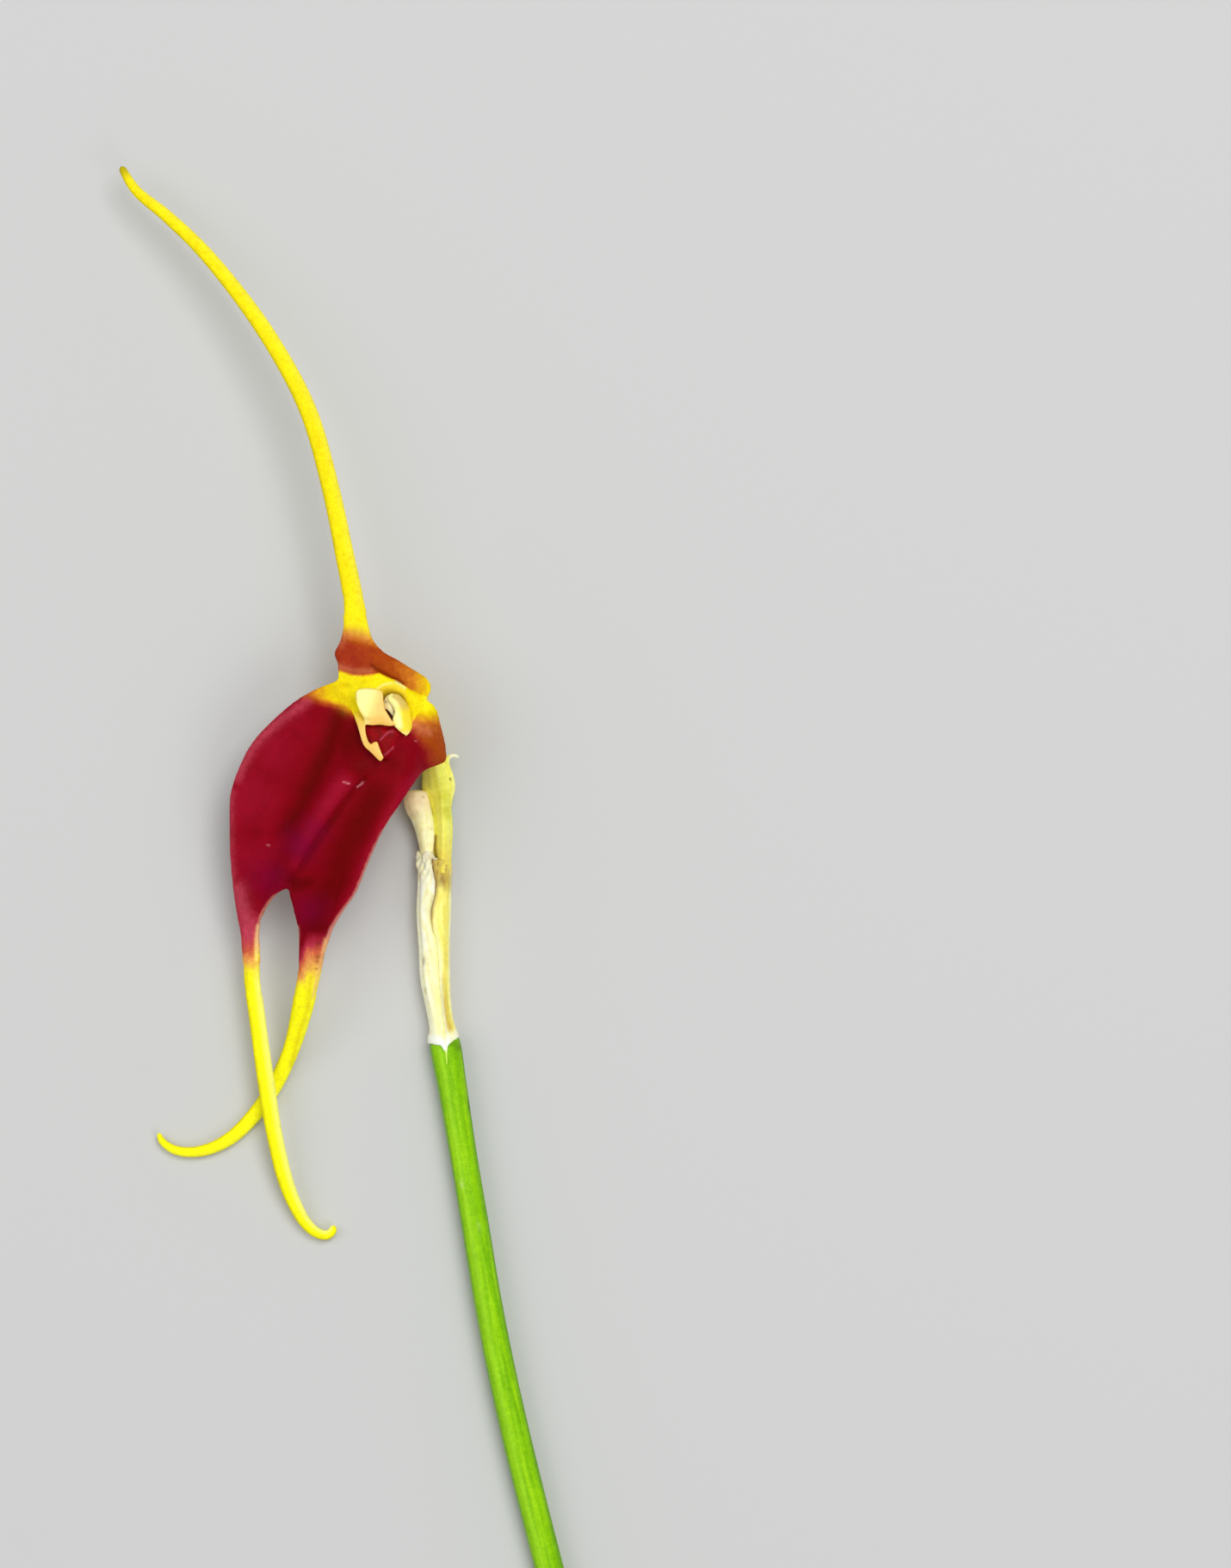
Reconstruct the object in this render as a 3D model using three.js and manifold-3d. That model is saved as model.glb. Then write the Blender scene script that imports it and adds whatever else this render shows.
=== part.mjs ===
// A masdevallia orchid bloom, picked and laid down on its back: +Y runs up the stem to the bloom's
// upper tail, +Z up from the surface it lies on. Millimetres.
//
// Every point below is measured from the middle of the bloom's mouth, with z from the surface.
// The whole bloom is then moved so that the origin is under the middle of its bounding box.
import * as THREE from "three";
import { mergeVertices } from "three/addons/utils/BufferGeometryUtils.js";
import Module from "manifold-3d";

// ---- driving dimensions ----
const MOUTH_TO_ORIGIN = new THREE.Vector3(-0.1, 23.12, 0); // the mouth's place in the part's frame

// The calyx tube: its axis runs from the base on the surface up to the mouth.
const MOUTH = new THREE.Vector3(-0.1, 0.4, 6.6);
const TUBE_BASE = new THREE.Vector3(2.5, -2.0, 0.55);
const CALYX_WALL = 0.66;
// distance below the mouth, then the radii across and along the bloom
const TUBE_RINGS = [
  { below: 7.3, across: 0.95, along: 0.95 },
  { below: 6.3, across: 1.5, along: 1.5 },
  { below: 4.8, across: 1.95, along: 1.85 },
  { below: 3.1, across: 2.0, along: 1.85 },
  { below: 1.4, across: 2.15, along: 1.95 },
];
const RIM_DROP = 0.55; // how far the mouth's rim lies below the sepals round it
const RIM_ROUNDING = 0.45; // the length over which the sepals roll over into the mouth
// The sheet of the sepals: its height over the mouth, its slopes, and how it droops further out.
const SEPAL_HEIGHT = 6.9;
const SEPAL_SLOPE = { toRight: 0.2, toTail: -0.15, bothWays: 0.05 };
const SEPAL_DROOP = { blade: 0.0154, dorsal: 0.0046 };
const VEIN_REACH = 1.15; // veins and the middle ridge run out before the margin
// the mouth's rim, clockwise from its right corner
const RIM = [
  [2.4, 1.14],
  [2.1, 0.3],
  [1.56, -0.54],
  [0.78, -1.26],
  [-0.18, -1.56],
  [-1.2, -1.08],
  [-2.04, -0.12],
  [-2.7, 1.08],
  [-3.12, 2.16],
  [-2.7, 2.76],
  [-1.68, 2.82],
  [-0.6, 2.88],
  [0.48, 2.34],
  [1.56, 1.8],
];

// The sepals' margins, clockwise from the notch right of the mouth. Each stretch holds its points
// as x, y and the lift of the margin out of the sepals' sheet, the part of the rim that its rays
// start from, how far the rays bow to the left, and the height of the vein or ridge along them.
const MARGIN = [
  {
    // right wing
    rays: 5,
    rim: [0, 0.086],
    points: [
      [2.79, 1.17, 0],
      [3.42, 0.6, -0.7],
      [3.78, -0.78, -2.0],
      [4.08, -2.16, -2.9],
      [4.14, -3.18, -3.3],
    ],
  },
  {
    // right edge
    rays: 13,
    rim: [0.086, 0.215],
    crease: [0, -0.45],
    points: [
      [4.14, -3.18, -3.3],
      [3.3, -3.42, -3.0],
      [2.46, -3.84, -2.3],
      [1.8, -4.68, -1.3],
      [0.66, -6.48, -0.2],
      [-0.42, -8.28, 0.2],
      [-1.26, -10.08, 0.3],
      [-2.28, -12.48, 0.3],
      [-3.54, -14.88, 0.1],
      [-4.02, -16.08, 0],
      [-4.32, -17.28, 0],
    ],
  },
  {
    // right tail's root
    rays: 2,
    rim: [0.215, 0.235],
    crease: [-0.45, -0.45],
    points: [
      [-4.32, -17.28, 0],
      [-6.3, -17.28, 0],
    ],
  },
  {
    // right side of the cleft
    rays: 5,
    rim: [0.235, 0.29],
    crease: [-0.45, 0.4],
    points: [
      [-6.3, -17.28, 0],
      [-6.24, -15.48, 0],
      [-6.3, -14.58, 0.1],
      [-6.6, -13.08, 0.1],
      [-6.84, -11.88, -0.2],
    ],
  },
  {
    // left side of the cleft
    rays: 5,
    rim: [0.29, 0.355],
    bow: [0, 1.5],
    crease: [0.4, -0.5],
    points: [
      [-6.84, -11.88, -0.2],
      [-7.8, -12.48, 0.1],
      [-8.58, -13.26, 0.1],
      [-8.94, -14.4, 0],
      [-9.0, -15.48, 0],
      [-8.94, -17.28, 0],
    ],
  },
  {
    // left tail's root
    rays: 2,
    rim: [0.355, 0.375],
    bow: [1.5, 1.5],
    crease: [-0.5, -0.5],
    points: [
      [-8.94, -17.28, 0],
      [-10.2, -17.28, 0],
    ],
  },
  {
    // left edge
    rays: 14,
    rim: [0.375, 0.587],
    bow: [1.5, 0],
    crease: [-0.5, 0],
    points: [
      [-10.2, -17.28, 0],
      [-10.44, -15.18, 0],
      [-10.74, -12.78, 0.2],
      [-10.98, -10.38, 0.4],
      [-11.04, -7.68, 0.5],
      [-10.92, -5.28, 0.5],
      [-10.32, -3.48, 0.5],
      [-9.3, -1.68, 0.4],
      [-7.56, 0.12, 0.3],
      [-5.94, 1.32, 0.1],
      [-4.68, 1.98, 0],
      [-3.42, 2.46, 0],
    ],
  },
  {
    // dorsal sepal's left edge
    rays: 4,
    rim: [0.587, 0.66],
    points: [
      [-3.42, 2.46, 0],
      [-3.42, 3.48, -0.1],
      [-3.6, 4.32, -0.3],
      [-3.24, 5.22, -0.1],
      [-3.06, 6.12, 0],
      [-3.12, 7.02, 0],
    ],
  },
  {
    // dorsal tail's root
    rays: 2,
    rim: [0.66, 0.73],
    points: [
      [-3.12, 7.02, 0],
      [-1.44, 7.02, 0],
    ],
  },
  {
    // dorsal sepal's right edge
    rays: 7,
    rim: [0.73, 1],
    points: [
      [-1.44, 7.02, 0],
      [-1.02, 5.52, 0],
      [-0.3, 4.5, -0.1],
      [0.66, 3.9, -0.3],
      [1.8, 3.18, -0.5],
      [2.46, 2.76, -0.6],
      [2.94, 2.28, -0.6],
      [3.09, 1.86, -0.4],
      [2.94, 1.44, -0.2],
      [2.79, 1.17, 0],
    ],
  },
];
const SEPAL_STEPS = [0.05, 0.12, 0.22, 0.36, 0.52, 0.68, 0.84, 1]; // rings from rim to margin

// Spines of the tails, petals and stems: x, y, z, then the half-width across and in depth.
const TAIL_DORSAL = [
  [-2.25, 5.9, 5.58, 0.95, 0.34],
  [-2.13, 6.9, 5.45, 0.82, 0.4],
  [-2.4, 8.4, 5.35, 0.7, 0.45],
  [-2.94, 11.1, 5.4, 0.66, 0.46],
  [-3.96, 16.02, 5.55, 0.62, 0.45],
  [-5.55, 21.42, 5.45, 0.6, 0.43],
  [-8.46, 26.82, 5.0, 0.57, 0.42],
  [-12.63, 32.22, 4.1, 0.5, 0.4],
  [-15.42, 34.92, 3.5, 0.46, 0.38],
  [-17.55, 36.72, 3.0, 0.4, 0.35],
  [-18.6, 38.3, 2.8, 0.3, 0.3],
];
const TAIL_LEFT = [
  [-9.6, -16.0, 2.8, 0.62, 0.34],
  [-9.58, -17.2, 2.42, 0.63, 0.4],
  [-9.45, -18.8, 2.2, 0.58, 0.45],
  [-9.1, -21.1, 2.15, 0.55, 0.45],
  [-8.5, -23.9, 2.2, 0.56, 0.45],
  [-7.95, -26.6, 2.15, 0.56, 0.45],
  [-7.56, -29.3, 1.9, 0.55, 0.44],
  [-7.1, -32.0, 1.45, 0.54, 0.42],
  [-6.3, -34.6, 1.05, 0.5, 0.4],
  [-5.4, -35.9, 0.65, 0.42, 0.36],
  [-4.6, -36.35, 0.48, 0.38, 0.34],
  [-4.05, -36.2, 0.5, 0.34, 0.32],
  [-3.88, -35.7, 0.62, 0.26, 0.26],
];
const TAIL_RIGHT = [
  [-5.0, -15.9, 4.75, 1.0, 0.34],
  [-5.3, -17.2, 4.26, 0.98, 0.4],
  [-5.6, -18.8, 3.7, 0.82, 0.45],
  [-6.05, -20.9, 2.8, 0.66, 0.45],
  [-6.8, -23.3, 1.65, 0.58, 0.43],
  [-7.9, -25.7, 0.75, 0.56, 0.42],
  [-9.35, -27.8, 0.45, 0.56, 0.42],
  [-11.2, -29.6, 0.42, 0.5, 0.42],
  [-13.2, -30.45, 0.42, 0.4, 0.4],
  [-14.9, -30.45, 0.42, 0.36, 0.36],
  [-15.9, -29.75, 0.5, 0.34, 0.34],
  [-16.12, -29.2, 0.62, 0.28, 0.28],
];

const STEM_TOP_Y = -22.95; // where the stem meets the sheath's collar
const STEM = [
  [18.06, -84.42, 1.0, 1.03, 1.03],
  [14.55, -71.9, 1.05, 1.02, 1.02],
  [11.16, -59.28, 1.2, 1.0, 1.0],
  [8.49, -48.48, 1.3, 1.0, 1.0],
  [7.02, -41.28, 1.35, 0.97, 0.97],
  [6.06, -35.52, 1.35, 0.96, 0.96],
  [5.25, -30.72, 1.32, 0.95, 0.95],
  [4.47, -25.92, 1.25, 1.02, 1.0],
  [3.96, STEM_TOP_Y, 1.2, 1.08, 1.05],
];
const PEG = [
  [4.05, -23.4, 1.2, 0.3, 0.3],
  [3.7, -22.2, 1.2, 0.3, 0.3],
  [3.3, -20.0, 1.2, 0.3, 0.3],
  [3.14, -16.0, 1.2, 0.3, 0.3],
  [3.2, -12.4, 1.15, 0.3, 0.3],
];

const SHEATH_WALL = 0.42;
const SHEATH = [
  [3.86, -22.72, 1.18, 1.06, 1.02],
  [3.82, -22.4, 1.18, 1.12, 1.08],
  [3.76, -22.0, 1.16, 0.94, 0.94],
  [3.6, -21.2, 1.14, 0.87, 0.9],
  [3.42, -20.0, 1.14, 0.92, 0.95],
  [3.22, -18.4, 1.15, 1.06, 1.02],
  [3.15, -16.2, 1.15, 1.12, 1.08],
  [3.12, -13.7, 1.15, 1.2, 1.1],
  [3.2, -11.7, 1.15, 1.2, 1.1],
  [3.27, -10.2, 1.15, 1.18, 1.05],
];
const SHEATH_BORE_END = 0.5; // half-width of the bore at the sheath's foot
// the torn mouth reaches further up on its left: a block cuts it, turned and set past the top
const SHEATH_TEAR = { size: [4, 2, 4], turn: -0.35, right: 0.3, up: 0.9 };

const OLD_PEDICEL = [
  [2.5, -10.0, 1.3, 0.52, 0.5],
  [2.42, -8.6, 1.35, 0.56, 0.55],
  [2.22, -7.4, 1.4, 0.6, 0.58],
  [1.98, -6.4, 1.45, 0.64, 0.62],
  [1.76, -5.7, 1.5, 0.66, 0.66],
  [1.7, -5.3, 1.5, 0.58, 0.58],
];

// The ovary lies along the surface behind its bract, and turns up into the tube's side.
const OVARY = [
  [3.95, -10.2, 0.62, 0.36, 0.36],
  [3.9, -8.4, 0.52, 0.4, 0.4],
  [3.78, -6.4, 0.5, 0.46, 0.46],
  [3.62, -5.0, 0.6, 0.52, 0.52],
  [3.35, -4.1, 0.85, 0.5, 0.5],
  [3.22, -3.78, 1.05, 0.46, 0.46],
];

// Sheets are given by their two edges, from the foot to the tip.
const BRACT = {
  thick: 0.45,
  crown: 0.42,
  left: [
    [3.3, -9.9, 1.2],
    [3.2, -8.2, 1.15],
    [3.02, -6.8, 1.15],
    [2.7, -5.6, 1.2],
    [2.46, -4.7, 1.3],
    [2.5, -3.85, 1.45],
  ],
  right: [
    [4.5, -10.2, 1.15],
    [4.4, -8.2, 1.1],
    [4.4, -6.8, 1.1],
    [4.5, -5.6, 1.1],
    [4.55, -4.4, 1.15],
    [4.25, -3.15, 1.3],
  ],
};
const BRACT_SPUR = [
  [4.15, -3.6, 1.4, 0.24, 0.24],
  [4.35, -3.0, 1.45, 0.2, 0.2],
  [4.6, -2.8, 1.45, 0.16, 0.16],
  [4.88, -2.88, 1.4, 0.1, 0.1],
];

const PETAL_LEFT = {
  thick: 0.6,
  crown: 0.15,
  left: [
    [-1.35, -0.5, 7.6],
    [-1.75, -0.1, 7.5],
    [-2.05, 0.6, 7.35],
    [-2.1, 1.6, 7.1],
  ],
  right: [
    [0.35, -0.5, 7.95],
    [0.05, 0.1, 7.85],
    [-0.15, 0.75, 7.65],
    [-0.3, 1.62, 7.3],
  ],
};
// Feet of the petals, lip and column inside the tube: steps below the mouth, across and along.
const PETAL_LEFT_CLAW = [
  [-6.4, -0.62, -0.05, 0.22, 0.22],
  [-4.0, -0.9, -0.1, 0.26, 0.26],
  [-2.0, -1.0, -0.1, 0.3, 0.3],
  [-0.3, -0.95, -0.1, 0.32, 0.32],
  [1.45, -0.6, -0.05, 0.35, 0.3],
];
const PETAL_LEFT_PROCESS = [
  [-1.45, -0.1, 7.6, 0.3, 0.25],
  [-1.75, -0.9, 7.72, 0.28, 0.25],
  [-1.5, -1.7, 7.85, 0.25, 0.25],
  [-1.0, -2.4, 8.05, 0.32, 0.25],
  [-0.6, -2.75, 8.15, 0.24, 0.2],
  [-0.26, -3.0, 8.2, 0.1, 0.1],
];
const PETAL_RIGHT = [
  [-6.4, 0.62, -0.05, 0.22, 0.22],
  [-4.0, 0.9, -0.1, 0.24, 0.28],
  [-2.0, 1.1, -0.1, 0.26, 0.4],
  [-0.4, 1.15, 0.2, 0.28, 0.5],
  [0.5, 1.2, 0.15, 0.28, 0.5],
];
const PETAL_RIGHT_HORN = [
  [0.42, 1.35, 6.75, 0.22, 0.28],
  [0.85, 1.1, 6.95, 0.27, 0.3],
  [1.08, 0.5, 7.1, 0.28, 0.32],
  [1.12, -0.1, 7.25, 0.28, 0.32],
  [1.08, -0.7, 7.4, 0.28, 0.3],
  [1.3, -1.2, 7.5, 0.1, 0.14],
];
const LIP = {
  thick: 0.6,
  crown: 0.12,
  right: [
    [-0.95, -1.0, 7.35],
    [-1.15, -1.3, 7.62],
    [-0.95, -1.9, 7.85],
    [-0.5, -2.35, 8.0],
  ],
  left: [
    [0.95, -1.05, 7.45],
    [0.75, -1.5, 7.75],
    [0.3, -2.1, 7.95],
    [-0.05, -2.45, 8.05],
  ],
};
const LIP_FOOT = [
  [-6.4, 0.0, -0.64, 0.26, 0.2],
  [-3.6, 0.0, -1.0, 0.4, 0.25],
  [-1.8, 0.1, -1.05, 0.5, 0.26],
  [-0.5, 0.1, -1.05, 0.55, 0.28],
  [0.3, 0.05, -1.4, 0.6, 0.28],
];
const COLUMN = [
  [-6.4, 0.0, 0.4, 0.3, 0.3],
  [-4.2, 0.0, 0.55, 0.4, 0.4],
  [-2.4, 0.05, 0.65, 0.46, 0.44],
  [-0.8, 0.2, 0.4, 0.5, 0.46],
  [-0.1, 0.28, 0.25, 0.48, 0.44],
  [0.15, 0.3, 0.2, 0.3, 0.28],
];
const CAVITY = { at: [0.05, 0.5, -0.2], radius: 0.3 }; // the hollow on the column's underside

const FLOOR_HALF = 200; // half-size of the block that trims what would sink into the surface

// ---- finishes ----
const finish = (color, roughness) =>
  new THREE.MeshStandardMaterial({ color, roughness, metalness: 0 });
const FINISH = {
  stem: finish(0x8ecb12, 0.45),
  sheath: finish(0xf6ecb8, 0.6),
  pedicel: finish(0xf3e2b4, 0.55),
  bract: finish(0xdfdc4a, 0.5),
  ovary: finish(0xa8cf1e, 0.45),
  calyx: finish(0x8a0c22, 0.55),
  petal: finish(0xfaf3a6, 0.45),
  lip: finish(0x780b14, 0.5),
};

// ---- solids ----
const wasm = await Module();
wasm.setup();

const vec = ([x, y, z]) => new THREE.Vector3(x, y, z);
const smooth = (points) =>
  new THREE.CatmullRomCurve3(points, false, "centripetal");

// The tube's own frame: up its axis, across the bloom and along it.
const tubeAxis = MOUTH.clone().sub(TUBE_BASE).normalize();
const tubeAcross = new THREE.Vector3(1, 0, 0)
  .addScaledVector(tubeAxis, -tubeAxis.x)
  .normalize();
const tubeAlong = tubeAxis.clone().cross(tubeAcross);
const inTube = (up, across, along) =>
  MOUTH.clone()
    .addScaledVector(tubeAxis, up)
    .addScaledVector(tubeAcross, across)
    .addScaledVector(tubeAlong, along);

// A closed geometry from vertices and triangles.
function geometryOf(vertices, triangles) {
  const geometry = new THREE.BufferGeometry().setFromPoints(vertices);
  geometry.setIndex(triangles.flat());
  geometry.computeVertexNormals();
  return geometry;
}

// Rings of points, each the same count and anticlockwise seen from the last ring, closed by a
// point at each end.
function ringSolid(rings, first, last) {
  const sides = rings[0].length;
  const vertices = [...rings.flat(), first, last];
  const foot = rings.length * sides;
  const triangles = [];
  for (let i = 0; i < sides; i++) {
    const next = (i + 1) % sides;
    triangles.push([foot, next, i]);
    for (let ring = 0; ring < rings.length - 1; ring++) {
      const [a, b] = [ring * sides + i, ring * sides + next];
      const [c, d] = [a + sides, b + sides];
      triangles.push([a, b, d], [a, d, c]);
    }
    const top = (rings.length - 1) * sides;
    triangles.push([foot + 1, top + i, top + next]);
  }
  return geometryOf(vertices, triangles);
}

// A stem or tail: an ellipse swept along a spine of [x, y, z, half-width, half-depth].
function sweep(spine, { sides = 8, steps = 3, depthways = new THREE.Vector3(0, 0, 1) } = {}) {
  const path = smooth(spine.map(vec));
  const size = smooth(spine.map((p) => new THREE.Vector3(p[3], p[4], 0)));
  const count = (spine.length - 1) * steps;
  const rings = Array.from({ length: count + 1 }, (_, i) => {
    const along = path.getTangent(i / count);
    const across = depthways.clone().cross(along).normalize();
    const deep = along.clone().cross(across);
    const half = size.getPoint(i / count);
    return Array.from({ length: sides }, (_, k) => {
      const turn = (2 * Math.PI * k) / sides;
      return path
        .getPoint(i / count)
        .addScaledVector(across, Math.cos(turn) * half.x)
        .addScaledVector(deep, Math.sin(turn) * half.y);
    });
  });
  return ringSolid(rings, path.getPoint(0), path.getPoint(1));
}

// The same, with the spine given inside the tube.
const sweepInTube = (spine, options) =>
  sweep(
    spine.map(([up, across, along, ...half]) => [
      ...inTube(up, across, along).toArray(),
      ...half,
    ]),
    { depthways: tubeAlong, ...options },
  );

// A thin crowned sheet between two edges, as thick as stated, with the same triangles on both faces.
function sheet({ left, right, thick, crown }, { across = 6, along = 9 } = {}) {
  const [leftEdge, rightEdge] = [smooth(left.map(vec)), smooth(right.map(vec))];
  const middle = [];
  for (let j = 0; j <= along; j++)
    for (let i = 0; i <= across; i++) {
      const u = i / across;
      const point = leftEdge.getPoint(j / along).lerp(rightEdge.getPoint(j / along), u);
      point.z += crown * (1 - (2 * u - 1) ** 2);
      middle.push(point);
    }
  const width = across + 1;
  const count = middle.length;
  const up = new THREE.Vector3(0, 0, thick / 2);
  const vertices = [
    ...middle.map((p) => p.clone().add(up)),
    ...middle.map((p) => p.clone().sub(up)),
  ];
  const triangles = [];
  for (let j = 0; j < along; j++)
    for (let i = 0; i < across; i++) {
      const [a, b] = [j * width + i, j * width + i + 1];
      const [c, d] = [a + width, b + width];
      triangles.push([a, b, d], [a, d, c]);
      triangles.push([a + count, d + count, b + count], [a + count, c + count, d + count]);
    }
  const border = [
    ...Array.from({ length: across }, (_, i) => i),
    ...Array.from({ length: along }, (_, j) => j * width + across),
    ...Array.from({ length: across }, (_, i) => along * width + across - i),
    ...Array.from({ length: along }, (_, j) => (along - j) * width),
  ];
  border.forEach((a, i) => {
    const b = border[(i + 1) % border.length];
    triangles.push([a, a + count, b + count], [a, b + count, b]);
  });
  return geometryOf(vertices, triangles);
}

function solidOf(geometry) {
  const merged = mergeVertices(
    new THREE.BufferGeometry()
      .setAttribute("position", geometry.getAttribute("position"))
      .setIndex(geometry.index),
    1e-4,
  );
  const solid = new wasm.Manifold(
    new wasm.Mesh({
      numProp: 3,
      vertProperties: merged.attributes.position.array,
      triVerts: new Uint32Array(merged.index.array),
    }),
  );
  if (solid.volume() < 0) throw new Error("a solid is inside out");
  return solid;
}

function geometryFrom(solid) {
  const { vertProperties, triVerts } = solid.getMesh();
  const geometry = new THREE.BufferGeometry();
  geometry.setAttribute("position", new THREE.BufferAttribute(vertProperties, 3));
  geometry.setIndex(new THREE.BufferAttribute(triVerts, 1));
  geometry.computeVertexNormals();
  return geometry;
}

const join = (...geometries) =>
  geometries.map(solidOf).reduce((whole, piece) => whole.add(piece));

// What lies on the surface is flattened there.
function restOnSurface(solid) {
  const above = new THREE.BoxGeometry(2 * FLOOR_HALF, 2 * FLOOR_HALF, FLOOR_HALF);
  above.translate(0, 0, FLOOR_HALF / 2);
  return geometryFrom(solid.intersect(solidOf(above)));
}

// ---- calyx ----
// Height of the sepals' sheet: square to the tube near the mouth, and drooping away from it.
function sepalHeight(x, y) {
  const { toRight, toTail, bothWays } = SEPAL_SLOPE;
  const tilt = toRight * x + toTail * y + bothWays * (Math.hypot(y, 1) - 1);
  const lengthwise = y < 0 ? SEPAL_DROOP.blade : SEPAL_DROOP.dorsal;
  return SEPAL_HEIGHT + tilt - SEPAL_DROOP.blade * x * x - lengthwise * y * y;
}

const ease = (from, to, t) => from + (to - from) * t * t * (3 - 2 * t);

// One ray of the calyx, from the tube's foot up its wall, over the rim and out to the margin.
function ray(rim, start, margin, bow, crease) {
  const foot = rim.getPointAt(start);
  const angle = Math.atan2(
    foot.clone().sub(MOUTH).dot(tubeAlong),
    foot.clone().sub(MOUTH).dot(tubeAcross),
  );
  const wall = TUBE_RINGS.map(({ below, across, along }) =>
    inTube(-below, across * Math.cos(angle), along * Math.sin(angle)),
  );
  const reach = new THREE.Vector2(margin.x - foot.x, margin.y - foot.y);
  const length = reach.length();
  const sideways = new THREE.Vector2(reach.y, -reach.x).normalize();
  const sepal = [0, ...SEPAL_STEPS].map((t) => {
    const bend = 4 * t * (1 - t) * bow;
    const x = foot.x + reach.x * t + sideways.x * bend;
    const y = foot.y + reach.y * t + sideways.y * bend;
    const roll = -RIM_DROP * Math.exp((-length * t) / RIM_ROUNDING);
    const relief = crease * Math.sin(Math.PI * Math.min(t * VEIN_REACH, 1)) + margin.z * t * t;
    return new THREE.Vector3(x, y, sepalHeight(x, y) + roll + relief);
  });
  return [...wall, ...sepal];
}

function calyxSheet() {
  const rim = new THREE.CatmullRomCurve3(
    RIM.map(([x, y]) => new THREE.Vector3(x, y, sepalHeight(x, y) - RIM_DROP)),
    true,
    "centripetal",
  );
  const rays = MARGIN.flatMap(({ rays: count, rim: part, bow = [0, 0], crease = [0, 0], points }) => {
    const edge = smooth(points.map(vec));
    return Array.from({ length: count }, (_, i) => {
      const t = i / count;
      return ray(
        rim,
        part[0] + (part[1] - part[0]) * t,
        edge.getPoint(t),
        ease(bow[0], bow[1], t),
        ease(crease[0], crease[1], t),
      );
    });
  });
  const count = rays.length;
  const rings = rays[0].map((_, j) => rays.map((points) => points[j]));
  const normalAt = (j, k) => {
    const [before, after] = [Math.max(j - 1, 0), Math.min(j + 1, rings.length - 1)];
    const outward = rings[after][k].clone().sub(rings[before][k]);
    const round = rings[j][(k + 1) % count].clone().sub(rings[j][(k + count - 1) % count]);
    return round.cross(outward).normalize();
  };
  const half = CALYX_WALL / 2;
  const faces = [half, -half].map((offset) =>
    rings.map((ring, j) => ring.map((p, k) => p.clone().addScaledVector(normalAt(j, k), offset))),
  );
  const foot = inTube(-TUBE_RINGS[0].below, 0, 0);
  const vertices = [
    ...faces.flat(2),
    foot.clone().addScaledVector(tubeAxis, half),
    foot.clone().addScaledVector(tubeAxis, -half),
  ];
  const size = rings.length * count;
  const triangles = [];
  for (let k = 0; k < count; k++) {
    const next = (k + 1) % count;
    triangles.push([2 * size, next, k], [2 * size + 1, size + k, size + next]);
    for (let j = 0; j < rings.length - 1; j++) {
      const [a, b] = [j * count + k, j * count + next];
      const [c, d] = [a + count, b + count];
      triangles.push([a, b, d], [a, d, c]);
      triangles.push([size + a, size + d, size + b], [size + a, size + c, size + d]);
    }
    const edge = (rings.length - 1) * count;
    triangles.push([edge + k, size + edge + next, size + edge + k]);
    triangles.push([edge + k, edge + next, size + edge + next]);
  }
  return geometryOf(vertices, triangles);
}

function calyx() {
  return restOnSurface(
    join(calyxSheet(), sweep(TAIL_DORSAL), sweep(TAIL_LEFT), sweep(TAIL_RIGHT)),
  );
}

// ---- stem, sheath and pedicels ----
function peduncle() {
  return restOnSurface(join(sweep(STEM, { sides: 12 }), sweep(PEG, { sides: 6, steps: 2 })));
}

function sheathBract() {
  const [foot, top] = [SHEATH[0], SHEATH.at(-1)];
  const bore = SHEATH.map(([x, y, z, across, deep]) => [
    x,
    y,
    z,
    across - SHEATH_WALL,
    deep - SHEATH_WALL,
  ]);
  bore.unshift([foot[0], foot[1] - 1, foot[2], SHEATH_BORE_END, SHEATH_BORE_END]);
  bore.push([top[0], top[1] + 1, top[2], top[3] - SHEATH_WALL, top[4] - SHEATH_WALL]);
  const sleeve = solidOf(sweep(SHEATH, { sides: 12 })).subtract(
    solidOf(sweep(bore, { sides: 8, steps: 2 })),
  );
  const tear = new THREE.BoxGeometry(...SHEATH_TEAR.size);
  tear.rotateZ(SHEATH_TEAR.turn);
  tear.translate(top[0] + SHEATH_TEAR.right, top[1] + SHEATH_TEAR.up, top[2]);
  return restOnSurface(sleeve.subtract(solidOf(tear)));
}

const oldPedicel = () => restOnSurface(join(sweep(OLD_PEDICEL)));
const ovary = () => restOnSurface(join(sweep(OVARY)));
const flowerBract = () =>
  restOnSurface(join(sheet(BRACT), sweep(BRACT_SPUR, { sides: 6, steps: 2 })));

// ---- petals, lip and column ----
const petalLeft = () =>
  restOnSurface(
    join(
      sheet(PETAL_LEFT, { along: 6 }),
      sweepInTube(PETAL_LEFT_CLAW, { sides: 6 }),
      sweep(PETAL_LEFT_PROCESS, { sides: 6 }),
    ),
  );
const petalRight = () =>
  restOnSurface(
    join(sweepInTube(PETAL_RIGHT, { sides: 6 }), sweep(PETAL_RIGHT_HORN, { sides: 6 })),
  );
const lip = () =>
  restOnSurface(join(sheet(LIP, { along: 6 }), sweepInTube(LIP_FOOT, { sides: 6 })));

function column() {
  const hollow = new THREE.SphereGeometry(CAVITY.radius, 8, 6);
  hollow.translate(...inTube(...CAVITY.at).toArray());
  return restOnSurface(solidOf(sweepInTube(COLUMN)).subtract(solidOf(hollow)));
}

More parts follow.
